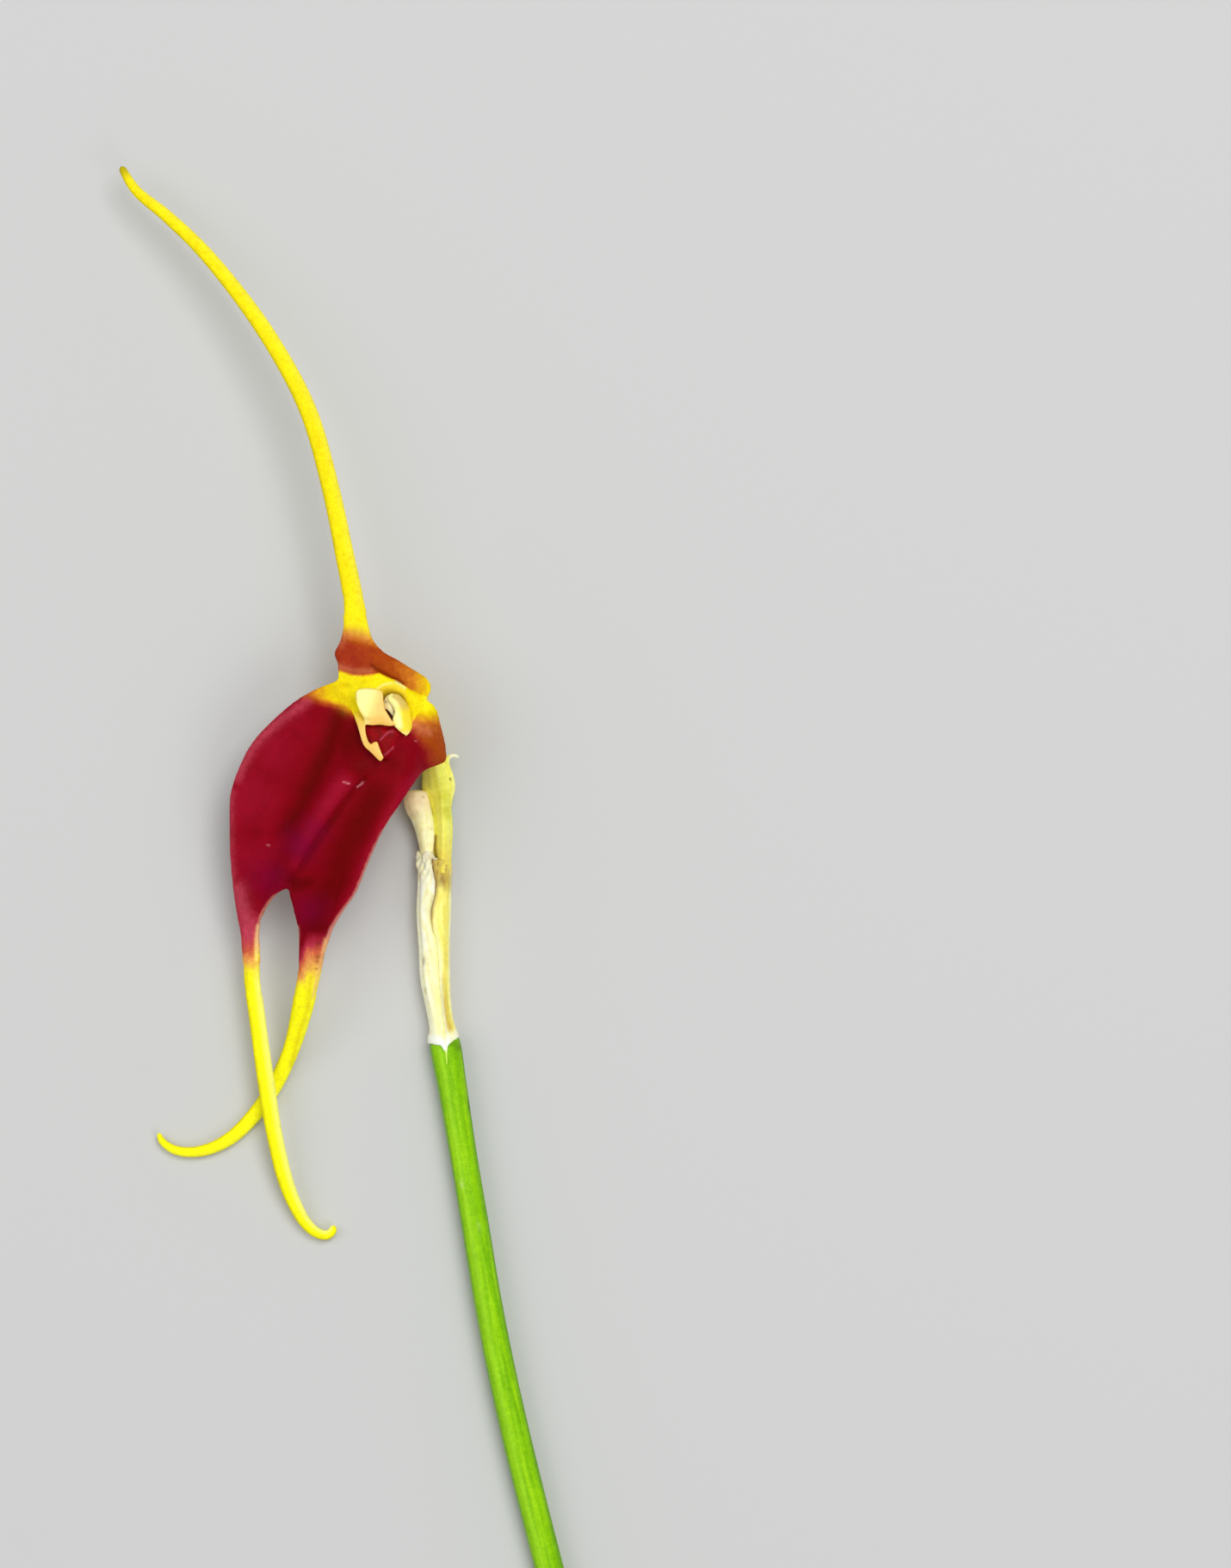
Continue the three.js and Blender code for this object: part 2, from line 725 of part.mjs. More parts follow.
// ---- the bloom ----
const bloom = new THREE.Group();
bloom.position.copy(MOUTH_TO_ORIGIN);
const add = (name, geometry, material) => {
  const mesh = new THREE.Mesh(geometry, material);
  mesh.name = name;
  bloom.add(mesh);
};
add("peduncle", peduncle(), FINISH.stem);
add("sheath_bract", sheathBract(), FINISH.sheath);
add("old_pedicel", oldPedicel(), FINISH.pedicel);
add("flower_bract", flowerBract(), FINISH.bract);
add("ovary", ovary(), FINISH.ovary);
add("calyx", calyx(), FINISH.calyx);
add("petal_left", petalLeft(), FINISH.petal);
add("petal_right", petalRight(), FINISH.petal);
add("lip", lip(), FINISH.lip);
add("column", column(), FINISH.petal);

const orchid = new THREE.Group();
orchid.add(bloom);
export default orchid;
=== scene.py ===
import bmesh
import bpy
import numpy as np
from mathutils import Matrix, Vector, kdtree


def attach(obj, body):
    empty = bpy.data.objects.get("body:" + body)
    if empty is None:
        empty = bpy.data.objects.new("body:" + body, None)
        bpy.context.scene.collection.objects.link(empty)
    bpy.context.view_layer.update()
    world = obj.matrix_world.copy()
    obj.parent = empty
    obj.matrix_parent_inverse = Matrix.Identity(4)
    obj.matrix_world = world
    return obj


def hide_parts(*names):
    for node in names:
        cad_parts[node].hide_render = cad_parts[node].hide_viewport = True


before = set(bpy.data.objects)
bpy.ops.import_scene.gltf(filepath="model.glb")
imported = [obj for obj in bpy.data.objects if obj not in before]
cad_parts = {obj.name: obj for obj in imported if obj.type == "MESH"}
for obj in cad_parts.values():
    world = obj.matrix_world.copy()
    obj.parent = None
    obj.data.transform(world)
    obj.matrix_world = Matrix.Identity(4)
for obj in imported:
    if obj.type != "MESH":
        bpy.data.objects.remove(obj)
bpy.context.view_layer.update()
print("frame loaded,", len(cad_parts), "nodes")

# Shapes are drawn in mm from the middle of the bloom's mouth, with z from the surface below. Skins and
# the studio are in metres.
mm = 0.001
mouthInPart = np.array([-0.1, 23.12, 0.0])


def inPart(points):
    return (np.asarray(points, float)[..., :3] + mouthInPart) * mm


def smoothStep(low, high, value):
    t = np.clip((np.asarray(value, float) - low) / (high - low), 0, 1)
    return t * t * (3 - 2 * t)


def unit(vectors):
    return vectors / np.maximum(np.linalg.norm(vectors, axis=-1, keepdims=True), 1e-12)


# A smooth line through some points, given back as evenly spaced rows. Any columns after x, y, z,
# such as half-widths, are smoothed along with them.
def smoothLine(points, count, closed=False):
    knots = np.array(points, float)
    if closed:
        knots = np.vstack([knots[-1:], knots, knots[:2]])
    else:
        knots = np.vstack([2 * knots[0] - knots[1], knots, 2 * knots[-1] - knots[-2]])
    s = np.linspace(0, 1, 24, endpoint=False)[:, None]
    fine = []
    for p0, p1, p2, p3 in zip(knots, knots[1:], knots[2:], knots[3:]):
        pairs = ((p0, p1), (p1, p2), (p2, p3))
        d0, d1, d2 = (max(np.linalg.norm(b[:3] - a[:3]), 1e-6) ** 0.5 for a, b in pairs)
        leave = d1 * ((p1 - p0) / d0 - (p2 - p0) / (d0 + d1) + (p2 - p1) / d1)
        arrive = d1 * ((p2 - p1) / d1 - (p3 - p1) / (d1 + d2) + (p3 - p2) / d2)
        fine.append(
            (2 * s**3 - 3 * s**2 + 1) * p1
            + (s**3 - 2 * s**2 + s) * leave
            + (3 * s**2 - 2 * s**3) * p2
            + (s**3 - s**2) * arrive
        )
    fine = np.vstack([*fine, knots[-2:-1]])
    steps = np.linalg.norm(np.diff(fine[:, :3], axis=0), axis=1)
    length = np.r_[0, np.cumsum(steps)]
    even = np.linspace(0, length[-1], count)
    return np.column_stack([np.interp(even, length, column) for column in fine.T])


def deselectAll():
    if bpy.context.object and bpy.context.object.mode != "OBJECT":
        bpy.ops.object.mode_set(mode="OBJECT")
    bpy.ops.object.select_all(action="DESELECT")


def chooseOnly(*pieces):
    deselectAll()
    for piece in pieces:
        piece.select_set(True)
    bpy.context.view_layer.objects.active = pieces[0]


def joinPieces(*pieces):
    chooseOnly(*pieces)
    bpy.ops.object.join()
    return pieces[0]


def readPoints(piece):
    points = np.empty(len(piece.data.vertices) * 3)
    piece.data.vertices.foreach_get("co", points)
    return points.reshape(-1, 3)


# The points in mm from the middle of the mouth, as they were drawn.
def readDrawn(piece):
    points = readPoints(piece)
    return points / mm - mouthInPart


def writePoints(piece, points):
    piece.data.vertices.foreach_set("co", np.ascontiguousarray(points, dtype=float).ravel())
    piece.data.update()


def addMask(piece, name, values):
    values = np.asarray(values, np.float32)
    kind = "FLOAT" if values.ndim == 1 else "FLOAT_VECTOR"
    field = "value" if values.ndim == 1 else "vector"
    layer = piece.data.attributes.new(name, kind, "POINT")
    layer.data.foreach_set(field, np.ascontiguousarray(values).ravel())


def readVectors(piece, name):
    values = np.empty(len(piece.data.vertices) * 3)
    piece.data.attributes[name].data.foreach_get("vector", values)
    return values.reshape(-1, 3)


# A modifier is added, set and applied at once.
def finishWith(piece, kind, **settings):
    chooseOnly(piece)
    modifier = piece.modifiers.new(kind.title(), kind)
    for name, value in settings.items():
        setattr(modifier, name, value)
    bpy.ops.object.modifier_apply(modifier=modifier.name)


def thicken(piece, wall):
    finishWith(piece, "SOLIDIFY", thickness=wall * mm, offset=0)


# Half-widths that close like a round bud over the last stretch of a line, at its foot or tip.
def roundEnds(line, foot=0.0, tip=0.0):
    steps = np.linalg.norm(np.diff(line[:, :3], axis=0), axis=1)
    along = np.r_[0, np.cumsum(steps)]
    line = line.copy()
    for reach, gone in ((foot, along), (tip, along[-1] - along)):
        if reach > 0:
            near = np.clip(gone / reach, 0, 1)
            line[:, 3:5] *= np.sqrt(np.clip(1 - (1 - near) ** 2, 0.004, 1))[:, None]
    return line


# The place, width and depth of every ring along a line, as matrices from a unit circle.
def ringFrames(line, upwards):
    points = inPart(line)
    along = unit(np.gradient(points, axis=0))
    across = unit(np.cross(upwards, along))
    deep = np.cross(along, across)
    frames = []
    for point, a, d, t, row in zip(points, across, deep, along, line):
        turn = Matrix((a * row[3] * mm, d * row[4] * mm, t * mm)).transposed().to_4x4()
        turn.translation = Vector(point)
        frames.append(turn)
    return frames


# A stem, tail or claw: a ring is added, extruded from station to station of the spine and carried
# into each one's place, and both ends are filled. A station is x, y, z and the two half-widths.
# Ribs run the whole length, and foot and tip say how long the rounded ends are.
def growAlong(name, spine, rings, sides=24, upwards=(0, 0, 1), ribs=0, ribDepth=0.0, foot=0.0, tip=0.0):
    line = roundEnds(smoothLine(spine, rings), foot, tip)
    frames = ringFrames(line, np.array(upwards, float))
    deselectAll()
    bpy.ops.mesh.primitive_circle_add(vertices=sides, radius=1, fill_type="NOTHING")
    piece = bpy.context.object
    piece.name = name
    circle = readPoints(piece)
    angle = np.arctan2(circle[:, 1], circle[:, 0])
    circle *= (1 + ribDepth * np.cos(ribs * angle))[:, None]
    writePoints(piece, circle)
    bpy.ops.object.mode_set(mode="EDIT")
    bpy.ops.mesh.select_all(action="SELECT")
    before = Matrix.Identity(4)
    for number, place in enumerate(frames):
        if number:
            bpy.ops.mesh.extrude_region_move()
        mesh = bmesh.from_edit_mesh(piece.data)
        ring = [v for v in mesh.verts if v.select]
        bmesh.ops.transform(mesh, matrix=place @ before.inverted(), verts=ring)
        bmesh.update_edit_mesh(piece.data)
        before = place
    bpy.ops.mesh.select_all(action="DESELECT")
    bpy.ops.mesh.select_non_manifold()
    bpy.ops.mesh.fill_holes(sides=0)
    bpy.ops.mesh.select_all(action="SELECT")
    bpy.ops.mesh.normals_make_consistent(inside=False)
    bpy.ops.object.mode_set(mode="OBJECT")
    # which way round and how far along each point lies, for grain that follows the stem
    points = readPoints(piece)
    inverse = np.array([np.array(f.inverted()) for f in frames])
    station = np.minimum(np.arange(len(points)) // sides, rings - 1)
    local = np.einsum("nij,nj->ni", inverse[station], np.c_[points, np.ones(len(points))])
    steps = np.linalg.norm(np.diff(line[:, :3], axis=0), axis=1)
    along = np.r_[0, np.cumsum(steps)][station]
    addMask(piece, "fibre", np.c_[local[:, :2], along])
    return piece


# A sheet: a grid whose points are placed by a rule of u (side to side) and v (foot to tip).
# A sheet that closes on itself has its seam merged.
def layGrid(name, across, along, rule, wraps=False, asked=False):
    deselectAll()
    bpy.ops.mesh.primitive_grid_add(x_subdivisions=across, y_subdivisions=along, size=1)
    piece = bpy.context.object
    piece.name = name
    flat = readPoints(piece)
    u, v = flat[:, 0] + 0.5, flat[:, 1] + 0.5
    writePoints(piece, inPart(rule(u, v)))
    addMask(piece, "fibre", np.c_[np.cos(2 * np.pi * u), np.sin(2 * np.pi * u), v])
    if wraps:
        bpy.ops.object.mode_set(mode="EDIT")
        bpy.ops.mesh.select_all(action="SELECT")
        bpy.ops.mesh.remove_doubles(threshold=1e-7)
        bpy.ops.object.mode_set(mode="OBJECT")
    return (piece, u, v) if asked else piece


# The rule of a sheet drawn between two edges, crowned in the middle and shaped by a further rule.
def betweenEdges(left, right, crown=0.0, more=None):
    leftLine, rightLine = smoothLine(left, 81), smoothLine(right, 81)
    share = np.linspace(0, 1, 81)

    def rule(u, v):
        a = np.column_stack([np.interp(v, share, c) for c in leftLine.T])
        b = np.column_stack([np.interp(v, share, c) for c in rightLine.T])
        points = a + (b - a) * u[:, None]
        points[:, 2] += crown * (1 - (2 * u - 1) ** 2)
        if more:
            points = more(u, v, points)
        return points

    return rule


# Soft round touches (x, y, radius, strength), as with a brush.
def touches(points, dabs):
    amount = np.zeros(len(points))
    for x, y, radius, strength in dabs:
        away = np.hypot(points[:, 0] - x, points[:, 1] - y) / radius
        amount = np.maximum(amount, strength * np.exp(-(away**2)))
    return amount


# 1 on a drawn line, fading out over its width.
def stroke(points, line, width):
    path = smoothLine([(x, y, 0) for x, y in line], 50)[:, :2]
    away = np.full(len(points), 1e9)
    for x, y in path:
        away = np.minimum(away, np.hypot(points[:, 0] - x, points[:, 1] - y))
    return np.exp(-((away / width) ** 2))


# Nothing reaches below the surface that the part lies on.
def setDown(piece):
    points = readPoints(piece)
    points[:, 2] = np.maximum(points[:, 2], 0)
    writePoints(piece, points)


def shadeSmooth(piece):
    chooseOnly(piece)
    bpy.ops.object.shade_smooth()


def mount(piece, node, material):
    piece.data.materials.clear()
    piece.data.materials.append(material)
    shadeSmooth(piece)
    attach(piece, "root")
    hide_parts(node)
    triangles = sum(len(face.vertices) - 2 for face in piece.data.polygons)
    print("made", piece.name, "with", triangles, "triangles")


def paint(red, green, blue):
    linear = [c / 255 / 12.92 if c <= 10 else ((c / 255 + 0.055) / 1.055) ** 2.4 for c in (red, green, blue)]
    return (*linear, 1.0)


# A node is added with its settings, and its inputs are given values or joined to other sockets.
def addNode(tree, kind, inputs=None, **settings):
    node = tree.nodes.new(kind)
    for name, value in settings.items():
        setattr(node, name, value)
    for name, value in (inputs or {}).items():
        if isinstance(value, bpy.types.NodeSocket):
            tree.links.new(value, node.inputs[name])
        else:
            node.inputs[name].default_value = value
    return node


def maths(tree, operation, a, b, clamp=False):
    return addNode(tree, "ShaderNodeMath", {0: a, 1: b}, operation=operation, use_clamp=clamp).outputs[0]


def newGroup(name, inputs, outputs):
    group = bpy.data.node_groups.new(name, "ShaderNodeTree")
    for label, kind, value in inputs:
        socket = group.interface.new_socket(label, in_out="INPUT", socket_type=kind)
        if value is not None:
            socket.default_value = value
    for label, kind in outputs:
        group.interface.new_socket(label, in_out="OUTPUT", socket_type=kind)
    return group, group.nodes.new("NodeGroupInput").outputs, group.nodes.new("NodeGroupOutput").inputs


# Uneven pigment: a colour goes a little lighter and darker in cells of a given size.
def makeUnevenPigment():
    group, given, out = newGroup(
        "unevenPigment",
        [("Color", "NodeSocketColor", None), ("Place", "NodeSocketVector", None),
         ("Scale", "NodeSocketFloat", 1000.0), ("Amount", "NodeSocketFloat", 0.1)],
        [("Color", "NodeSocketColor")],
    )
    cells = addNode(
        group, "ShaderNodeTexNoise",
        {"Vector": given["Place"], "Scale": given["Scale"], "Detail": 4.0, "Roughness": 0.6},
    )
    swing = maths(group, "MULTIPLY", maths(group, "SUBTRACT", cells.outputs[0], 0.5), given["Amount"])
    strength = maths(group, "ADD", maths(group, "MULTIPLY", swing, 4.0), 1.0)
    scaled = {0: given["Color"], "Scale": strength}
    tinted = addNode(group, "ShaderNodeVectorMath", scaled, operation="SCALE")
    group.links.new(tinted.outputs[0], out["Color"])
    return group


# Skin relief: low swells with small raised cells on them, as a normal and a change of gloss.
def makeSkinRelief():
    group, given, out = newGroup(
        "skinRelief",
        [("Place", "NodeSocketVector", None), ("Cell Scale", "NodeSocketFloat", 9000.0),
         ("Cell Height", "NodeSocketFloat", 0.5), ("Swell Scale", "NodeSocketFloat", 1200.0),
         ("Swell Height", "NodeSocketFloat", 0.3), ("Depth", "NodeSocketFloat", 0.00003),
         ("Roughness", "NodeSocketFloat", 0.5), ("Roughness Spread", "NodeSocketFloat", 0.15)],
        [("Normal", "NodeSocketVector"), ("Roughness", "NodeSocketFloat")],
    )
    cells = addNode(
        group, "ShaderNodeTexVoronoi", {"Vector": given["Place"], "Scale": given["Cell Scale"]},
        feature="SMOOTH_F1",
    )
    swells = addNode(
        group, "ShaderNodeTexNoise",
        {"Vector": given["Place"], "Scale": given["Swell Scale"], "Detail": 3.0},
    )
    raised = maths(group, "SUBTRACT", 1.0, cells.outputs["Distance"])
    raised = maths(group, "MULTIPLY", raised, given["Cell Height"])
    swollen = maths(group, "MULTIPLY", swells.outputs[0], given["Swell Height"])
    height = maths(group, "ADD", raised, swollen)
    bump = addNode(group, "ShaderNodeBump", {"Height": height, "Distance": given["Depth"], "Strength": 1.0})
    group.links.new(bump.outputs["Normal"], out["Normal"])
    centred = maths(group, "SUBTRACT", swells.outputs[0], 0.5)
    spread = maths(group, "MULTIPLY", centred, given["Roughness Spread"])
    group.links.new(maths(group, "ADD", given["Roughness"], spread), out["Roughness"])
    return group


unevenPigment = makeUnevenPigment()
skinRelief = makeSkinRelief()


# Where a pattern lies: on the object's own coordinates, or along a piece's fibres.
def objectPlace(tree, stretch=(1, 1, 1)):
    place = addNode(tree, "ShaderNodeTexCoord").outputs["Object"]
    return addNode(tree, "ShaderNodeMapping", {"Vector": place, "Scale": stretch}).outputs[0]


def fibrePlace(tree, along):
    fibre = addNode(tree, "ShaderNodeAttribute", attribute_name="fibre").outputs["Vector"]
    return addNode(tree, "ShaderNodeMapping", {"Vector": fibre, "Scale": (1, 1, along)}).outputs[0]


def mask(tree, name):
    return addNode(tree, "ShaderNodeAttribute", attribute_name=name).outputs["Fac"]


def noise(tree, place, scale, detail=3.0):
    settings = {"Vector": place, "Scale": scale, "Detail": detail}
    return addNode(tree, "ShaderNodeTexNoise", settings).outputs[0]


def ramp(tree, value, stops):
    node = addNode(tree, "ShaderNodeValToRGB", {"Fac": value})
    points = node.color_ramp.elements
    points[0].position = stops[0][0]
    points[0].color = paint(*stops[0][1])
    points[1].position = stops[-1][0]
    points[1].color = paint(*stops[-1][1])
    for position, colour in stops[1:-1]:
        points.new(position).color = paint(*colour)
    return node.outputs["Color"]


# A mask made uneven by a noise, but not where it is nothing.
def frayed(tree, value, unevenness, amount):
    centred = maths(tree, "SUBTRACT", unevenness, 0.5)
    present = maths(tree, "MULTIPLY", value, 8.0, clamp=True)
    uneven = maths(tree, "MULTIPLY", maths(tree, "MULTIPLY", centred, amount), present)
    return maths(tree, "ADD", value, uneven, clamp=True)


def times(tree, value, amount):
    return maths(tree, "MULTIPLY", value, amount, clamp=True)


def blend(tree, factor, a, b, kind="MIX"):
    inputs = {0: factor, 6: a, 7: b}
    return addNode(tree, "ShaderNodeMix", inputs, data_type="RGBA", blend_type=kind).outputs[2]


# Colours are laid over one another: the mask of each, its colour and strength, and for an uneven
# one the noise that frays it and how much.
def layOver(tree, colour, layers):
    for name, shade, strength, *fray in layers:
        value = mask(tree, name)
        if fray:
            value = frayed(tree, value, *fray)
        colour = blend(tree, times(tree, value, strength), colour, paint(*shade))
    return colour


def newSkin(name, **values):
    material = bpy.data.materials.new(name)
    material.use_nodes = True
    shader = material.node_tree.nodes["Principled BSDF"]
    for label, value in values.items():
        shader.inputs[label.replace("_", " ")].default_value = value
    return material


# The last coat of a skin: uneven pigment and relief. Pigment, cells and swells are a scale and an
# amount or height, and roughness is its middle and its spread.
def coverSkin(material, colour, pigment, cells, swells, depth, roughness):
    tree = material.node_tree
    shader = tree.nodes["Principled BSDF"]
    place = objectPlace(tree)
    for scale, amount in pigment:
        layer = {"Color": colour, "Place": place, "Scale": scale, "Amount": amount}
        colour = addNode(tree, "ShaderNodeGroup", layer, node_tree=unevenPigment).outputs["Color"]
    tree.links.new(colour, shader.inputs["Base Color"])
    relief = {
        "Place": place, "Cell Scale": cells[0], "Cell Height": cells[1], "Swell Scale": swells[0],
        "Swell Height": swells[1], "Depth": depth, "Roughness": roughness[0],
        "Roughness Spread": roughness[1],
    }
    skin = addNode(tree, "ShaderNodeGroup", relief, node_tree=skinRelief)
    for name in ("Normal", "Roughness"):
        tree.links.new(skin.outputs[name], shader.inputs[name])
    return material


# The calyx: tube, dorsal sepal, two lateral sepals grown together, and a tail on each.
calyx = {
    "wall": 0.5,
    "voxel": 0.102,
    "height": 6.9,
    "toRight": 0.2,
    "toTail": -0.15,
    "bothWays": 0.05,
    "droopBlade": 0.0154,
    "droopDorsal": 0.0046,
    "rimDrop": 0.55,
    "rimRounding": 0.45,
    "mouth": (-0.1, 0.4, 6.6),
    "tubeBase": (2.5, -2.0, 0.55),
    # distance below the mouth, then the radii across and along
    "tube": [(7.42, 0.03, 0.03), (7.36, 0.48, 0.5), (7.2, 0.86, 0.92), (6.3, 1.32, 1.5),
             (4.8, 1.68, 1.85), (3.1, 1.86, 1.85), (1.9, 1.8, 1.7)],
    "throat": {"middle": (0.16, 0.6, 6.3), "across": 1.4, "along": 1.45},
    "wallRows": 30,
    "sepalRows": 48,
    "rim": [(2.4, 1.14), (2.1, 0.3), (1.56, -0.54), (0.78, -1.26), (-0.18, -1.56), (-1.2, -1.08),
            (-2.04, -0.12), (-2.7, 1.08), (-3.12, 2.16), (-2.7, 2.76), (-1.68, 2.82),
            (-0.6, 2.88), (0.48, 2.34), (1.56, 1.8)],
    "rimReach": (0.1, 1.2),  # how far past the rim the relief fades in
    "tailRounding": 0.3,
    "tailRoots": ((-19.5, -14.6), (4.8, 8.5)),  # where the blade passes into its tails, from y to y
    "rootSmoothing": 20,
    "margin": (-17, 7),  # from y to y
    "marginWidth": 0.45,
    "marginSmoothing": 8,
    "skinSmoothing": 8,
    "tailDetail": 0.24,
}
# The margins of the sepals, clockwise from the notch at the right of the mouth. A stretch has the
# share of the rim its rays leave from, its points (x, y, lift out of the sheet), how far its rays
# bow, and how pale its edge is: a rim partly of the margin's own colour, partly painted highlight.
sepalMargin = {
    "right wing": {
        "rays": 18, "rim": (0, 0.086), "pale": (0.5, 0.3),
        "points": [(2.79, 1.17, 0), (3.3, 0.6, -0.7), (3.62, -0.78, -2.0), (3.9, -2.16, -2.9),
                   (3.98, -3.1, -3.3)],
    },
    "right edge": {
        "rays": 48, "rim": (0.086, 0.215), "bow": (0, 0.5), "pale": (0.1, 1.2),
        "points": [(3.98, -3.1, -3.3), (3.3, -3.38, -3.0), (2.46, -3.78, -2.3), (1.8, -4.62, -1.3),
                   (0.66, -6.48, -0.2), (-0.42, -8.28, 0.2), (-1.26, -10.08, 0.3),
                   (-2.28, -12.48, 0.3), (-3.06, -13.55, 0.2), (-3.82, -14.85, 0.1), (-4.22, -16.1, 0),
                   (-4.52, -17.28, 0)],
    },
    "right tail's root": {
        "rays": 8, "rim": (0.215, 0.235), "bow": (0.5, 0.3), "pale": (0, 0),
        "points": [(-4.52, -17.28, 0), (-6.24, -17.28, 0)],
    },
    "right side of the cleft": {
        "rays": 20, "rim": (0.235, 0.29), "bow": (0.3, 0), "pale": (0.8, 0.7),
        "points": [(-6.24, -17.28, 0), (-6.24, -15.48, 0), (-6.3, -14.58, 0.1),
                   (-6.6, -13.08, 0.1), (-6.84, -11.88, -0.2)],
    },
    "left side of the cleft": {
        "rays": 22, "rim": (0.29, 0.355), "bow": (0, 3.0), "pale": (0.7, 0.7),
        "points": [(-6.84, -11.88, -0.2), (-7.8, -12.48, 0.1), (-8.34, -13.1, 0.1), (-8.73, -13.75, 0.05),
                   (-8.94, -14.3, 0), (-9.0, -15.2, 0), (-8.96, -17.28, 0)],
    },
    "left tail's root": {
        "rays": 6, "rim": (0.355, 0.375), "bow": (3.0, 2.5), "pale": (0, 0),
        "points": [(-8.96, -17.28, 0), (-10.14, -17.28, 0)],
    },
    "left edge": {
        "rays": 52, "rim": (0.375, 0.587), "bow": (2.5, 0), "pale": (0.8, 0.2),
        "points": [(-10.14, -17.28, 0), (-10.38, -15.18, 0), (-10.74, -12.78, 0.2),
                   (-10.98, -10.38, 0.4), (-11.04, -7.68, 0.5), (-10.92, -5.28, 0.5),
                   (-10.32, -3.48, 0.5), (-9.3, -1.68, 0.4), (-7.56, 0.12, 0.3),
                   (-5.94, 1.32, 0.1), (-4.68, 1.98, 0), (-3.42, 2.46, 0)],
    },
    "dorsal left edge": {
        "rays": 16, "rim": (0.587, 0.66), "pale": (0.15, 0.15),
        "points": [(-3.42, 2.46, 0), (-3.42, 3.48, -0.1), (-3.6, 4.32, -0.3), (-3.24, 5.22, -0.1),
                   (-3.06, 6.12, 0), (-3.12, 7.02, 0)],
    },
    "dorsal tail's root": {
        "rays": 6, "rim": (0.66, 0.73), "pale": (0, 0),
        "points": [(-3.12, 7.02, 0), (-1.44, 7.02, 0)],
    },
    "dorsal right edge": {
        "rays": 30, "rim": (0.73, 1), "pale": (0.2, 0.5),
        "points": [(-1.44, 7.02, 0), (-1.02, 5.52, 0), (-0.3, 4.5, -0.1), (0.66, 3.9, -0.3),
                   (1.8, 3.18, -0.5), (2.46, 2.76, -0.6), (2.94, 2.28, -0.6), (3.09, 1.86, -0.4),
                   (2.94, 1.44, -0.2), (2.79, 1.17, 0)],
    },
}
# Furrows and ridges as drawn lines: x, y points, half-width and height.
sepalRelief = {
    "left furrow": ([(-3.2, 0.0), (-3.9, -1.8), (-4.9, -4.2), (-6.9, -8.0), (-9.0, -13.6),
                     (-9.6, -17.0)], 0.9, -0.3),
    "middle ridge": ([(-2.2, -3.6), (-3.6, -5.6), (-5.2, -8.2), (-6.6, -10.6)], 0.8, 0.4),
    "fold beside the ridge": ([(-1.5, -4.4), (-2.6, -5.6), (-3.9, -7.4), (-5.4, -9.5),
                               (-6.6, -11.5)], 0.3, -0.28),
    "right furrow": ([(1.0, -2.6), (-0.4, -5.4), (-2.3, -9.4), (-4.0, -13.0), (-5.2, -17.0)], 1.1, -0.25),
    "vein in the left lobe": ([(-5.2, -1.0), (-7.6, -4.2), (-9.0, -8.2), (-9.6, -13.0)], 0.6, 0.1),
    "dorsal vein": ([(-1.7, 3.4), (-2.0, 5.0), (-2.2, 7.0)], 0.5, 0.1),
    "dorsal right fold": ([(-0.9, 3.5), (0.6, 2.95), (1.8, 2.35)], 0.35, 0.16),
}
tails = {
    "dorsal": [
        (-2.15, 5.0, 5.68, 0.8, 0.14), (-2.2, 6.0, 5.56, 0.86, 0.26), (-2.2, 7.0, 5.44, 0.86, 0.34),
        (-2.4, 8.4, 5.36, 0.74, 0.42), (-2.94, 11.1, 5.4, 0.68, 0.44), (-3.98, 16.02, 5.55, 0.64, 0.43),
        (-5.57, 21.42, 5.45, 0.63, 0.42), (-8.52, 26.82, 5.0, 0.6, 0.41), (-12.66, 32.22, 4.1, 0.52, 0.39),
        (-15.46, 34.95, 3.5, 0.46, 0.37), (-17.62, 36.78, 3.0, 0.38, 0.34), (-18.72, 38.5, 2.8, 0.27, 0.27),
    ],
    "left": [
        (-9.6, -16.0, 2.8, 0.56, 0.18), (-9.57, -17.2, 2.42, 0.64, 0.36), (-9.49, -18.8, 2.2, 0.62, 0.44),
        (-9.28, -20.3, 2.15, 0.6, 0.46), (-8.87, -23.4, 2.2, 0.6, 0.46), (-8.45, -26.3, 2.15, 0.61, 0.46),
        (-7.97, -29.3, 1.9, 0.58, 0.45), (-7.28, -32.3, 1.45, 0.56, 0.43), (-6.6, -34.15, 1.1, 0.5, 0.4),
        (-5.8, -35.55, 0.72, 0.44, 0.36), (-5.0, -36.25, 0.5, 0.38, 0.34), (-4.35, -36.4, 0.46, 0.34, 0.32),
        (-3.95, -36.1, 0.5, 0.3, 0.3), (-3.88, -35.65, 0.62, 0.25, 0.25),
    ],
    "right": [
        (-5.2, -15.8, 4.72, 0.7, 0.14), (-5.34, -17.3, 4.24, 0.88, 0.34), (-5.62, -18.7, 3.7, 0.85, 0.42),
        (-6.08, -20.8, 2.8, 0.75, 0.44), (-6.8, -23.3, 1.65, 0.6, 0.42), (-7.9, -25.7, 0.75, 0.57, 0.42),
        (-9.35, -27.85, 0.45, 0.54, 0.42), (-11.2, -29.65, 0.42, 0.48, 0.42), (-13.2, -30.5, 0.42, 0.4, 0.4),
        (-14.9, -30.45, 0.42, 0.34, 0.34), (-15.9, -29.8, 0.5, 0.27, 0.27),
        (-16.16, -29.15, 0.62, 0.18, 0.18),
    ],
}
# painted light: each tail's right side is paler
tailSideLight = {"dorsal": 0.3, "left": 1.0, "right": 0.2}  # how much paler each tail's right side is
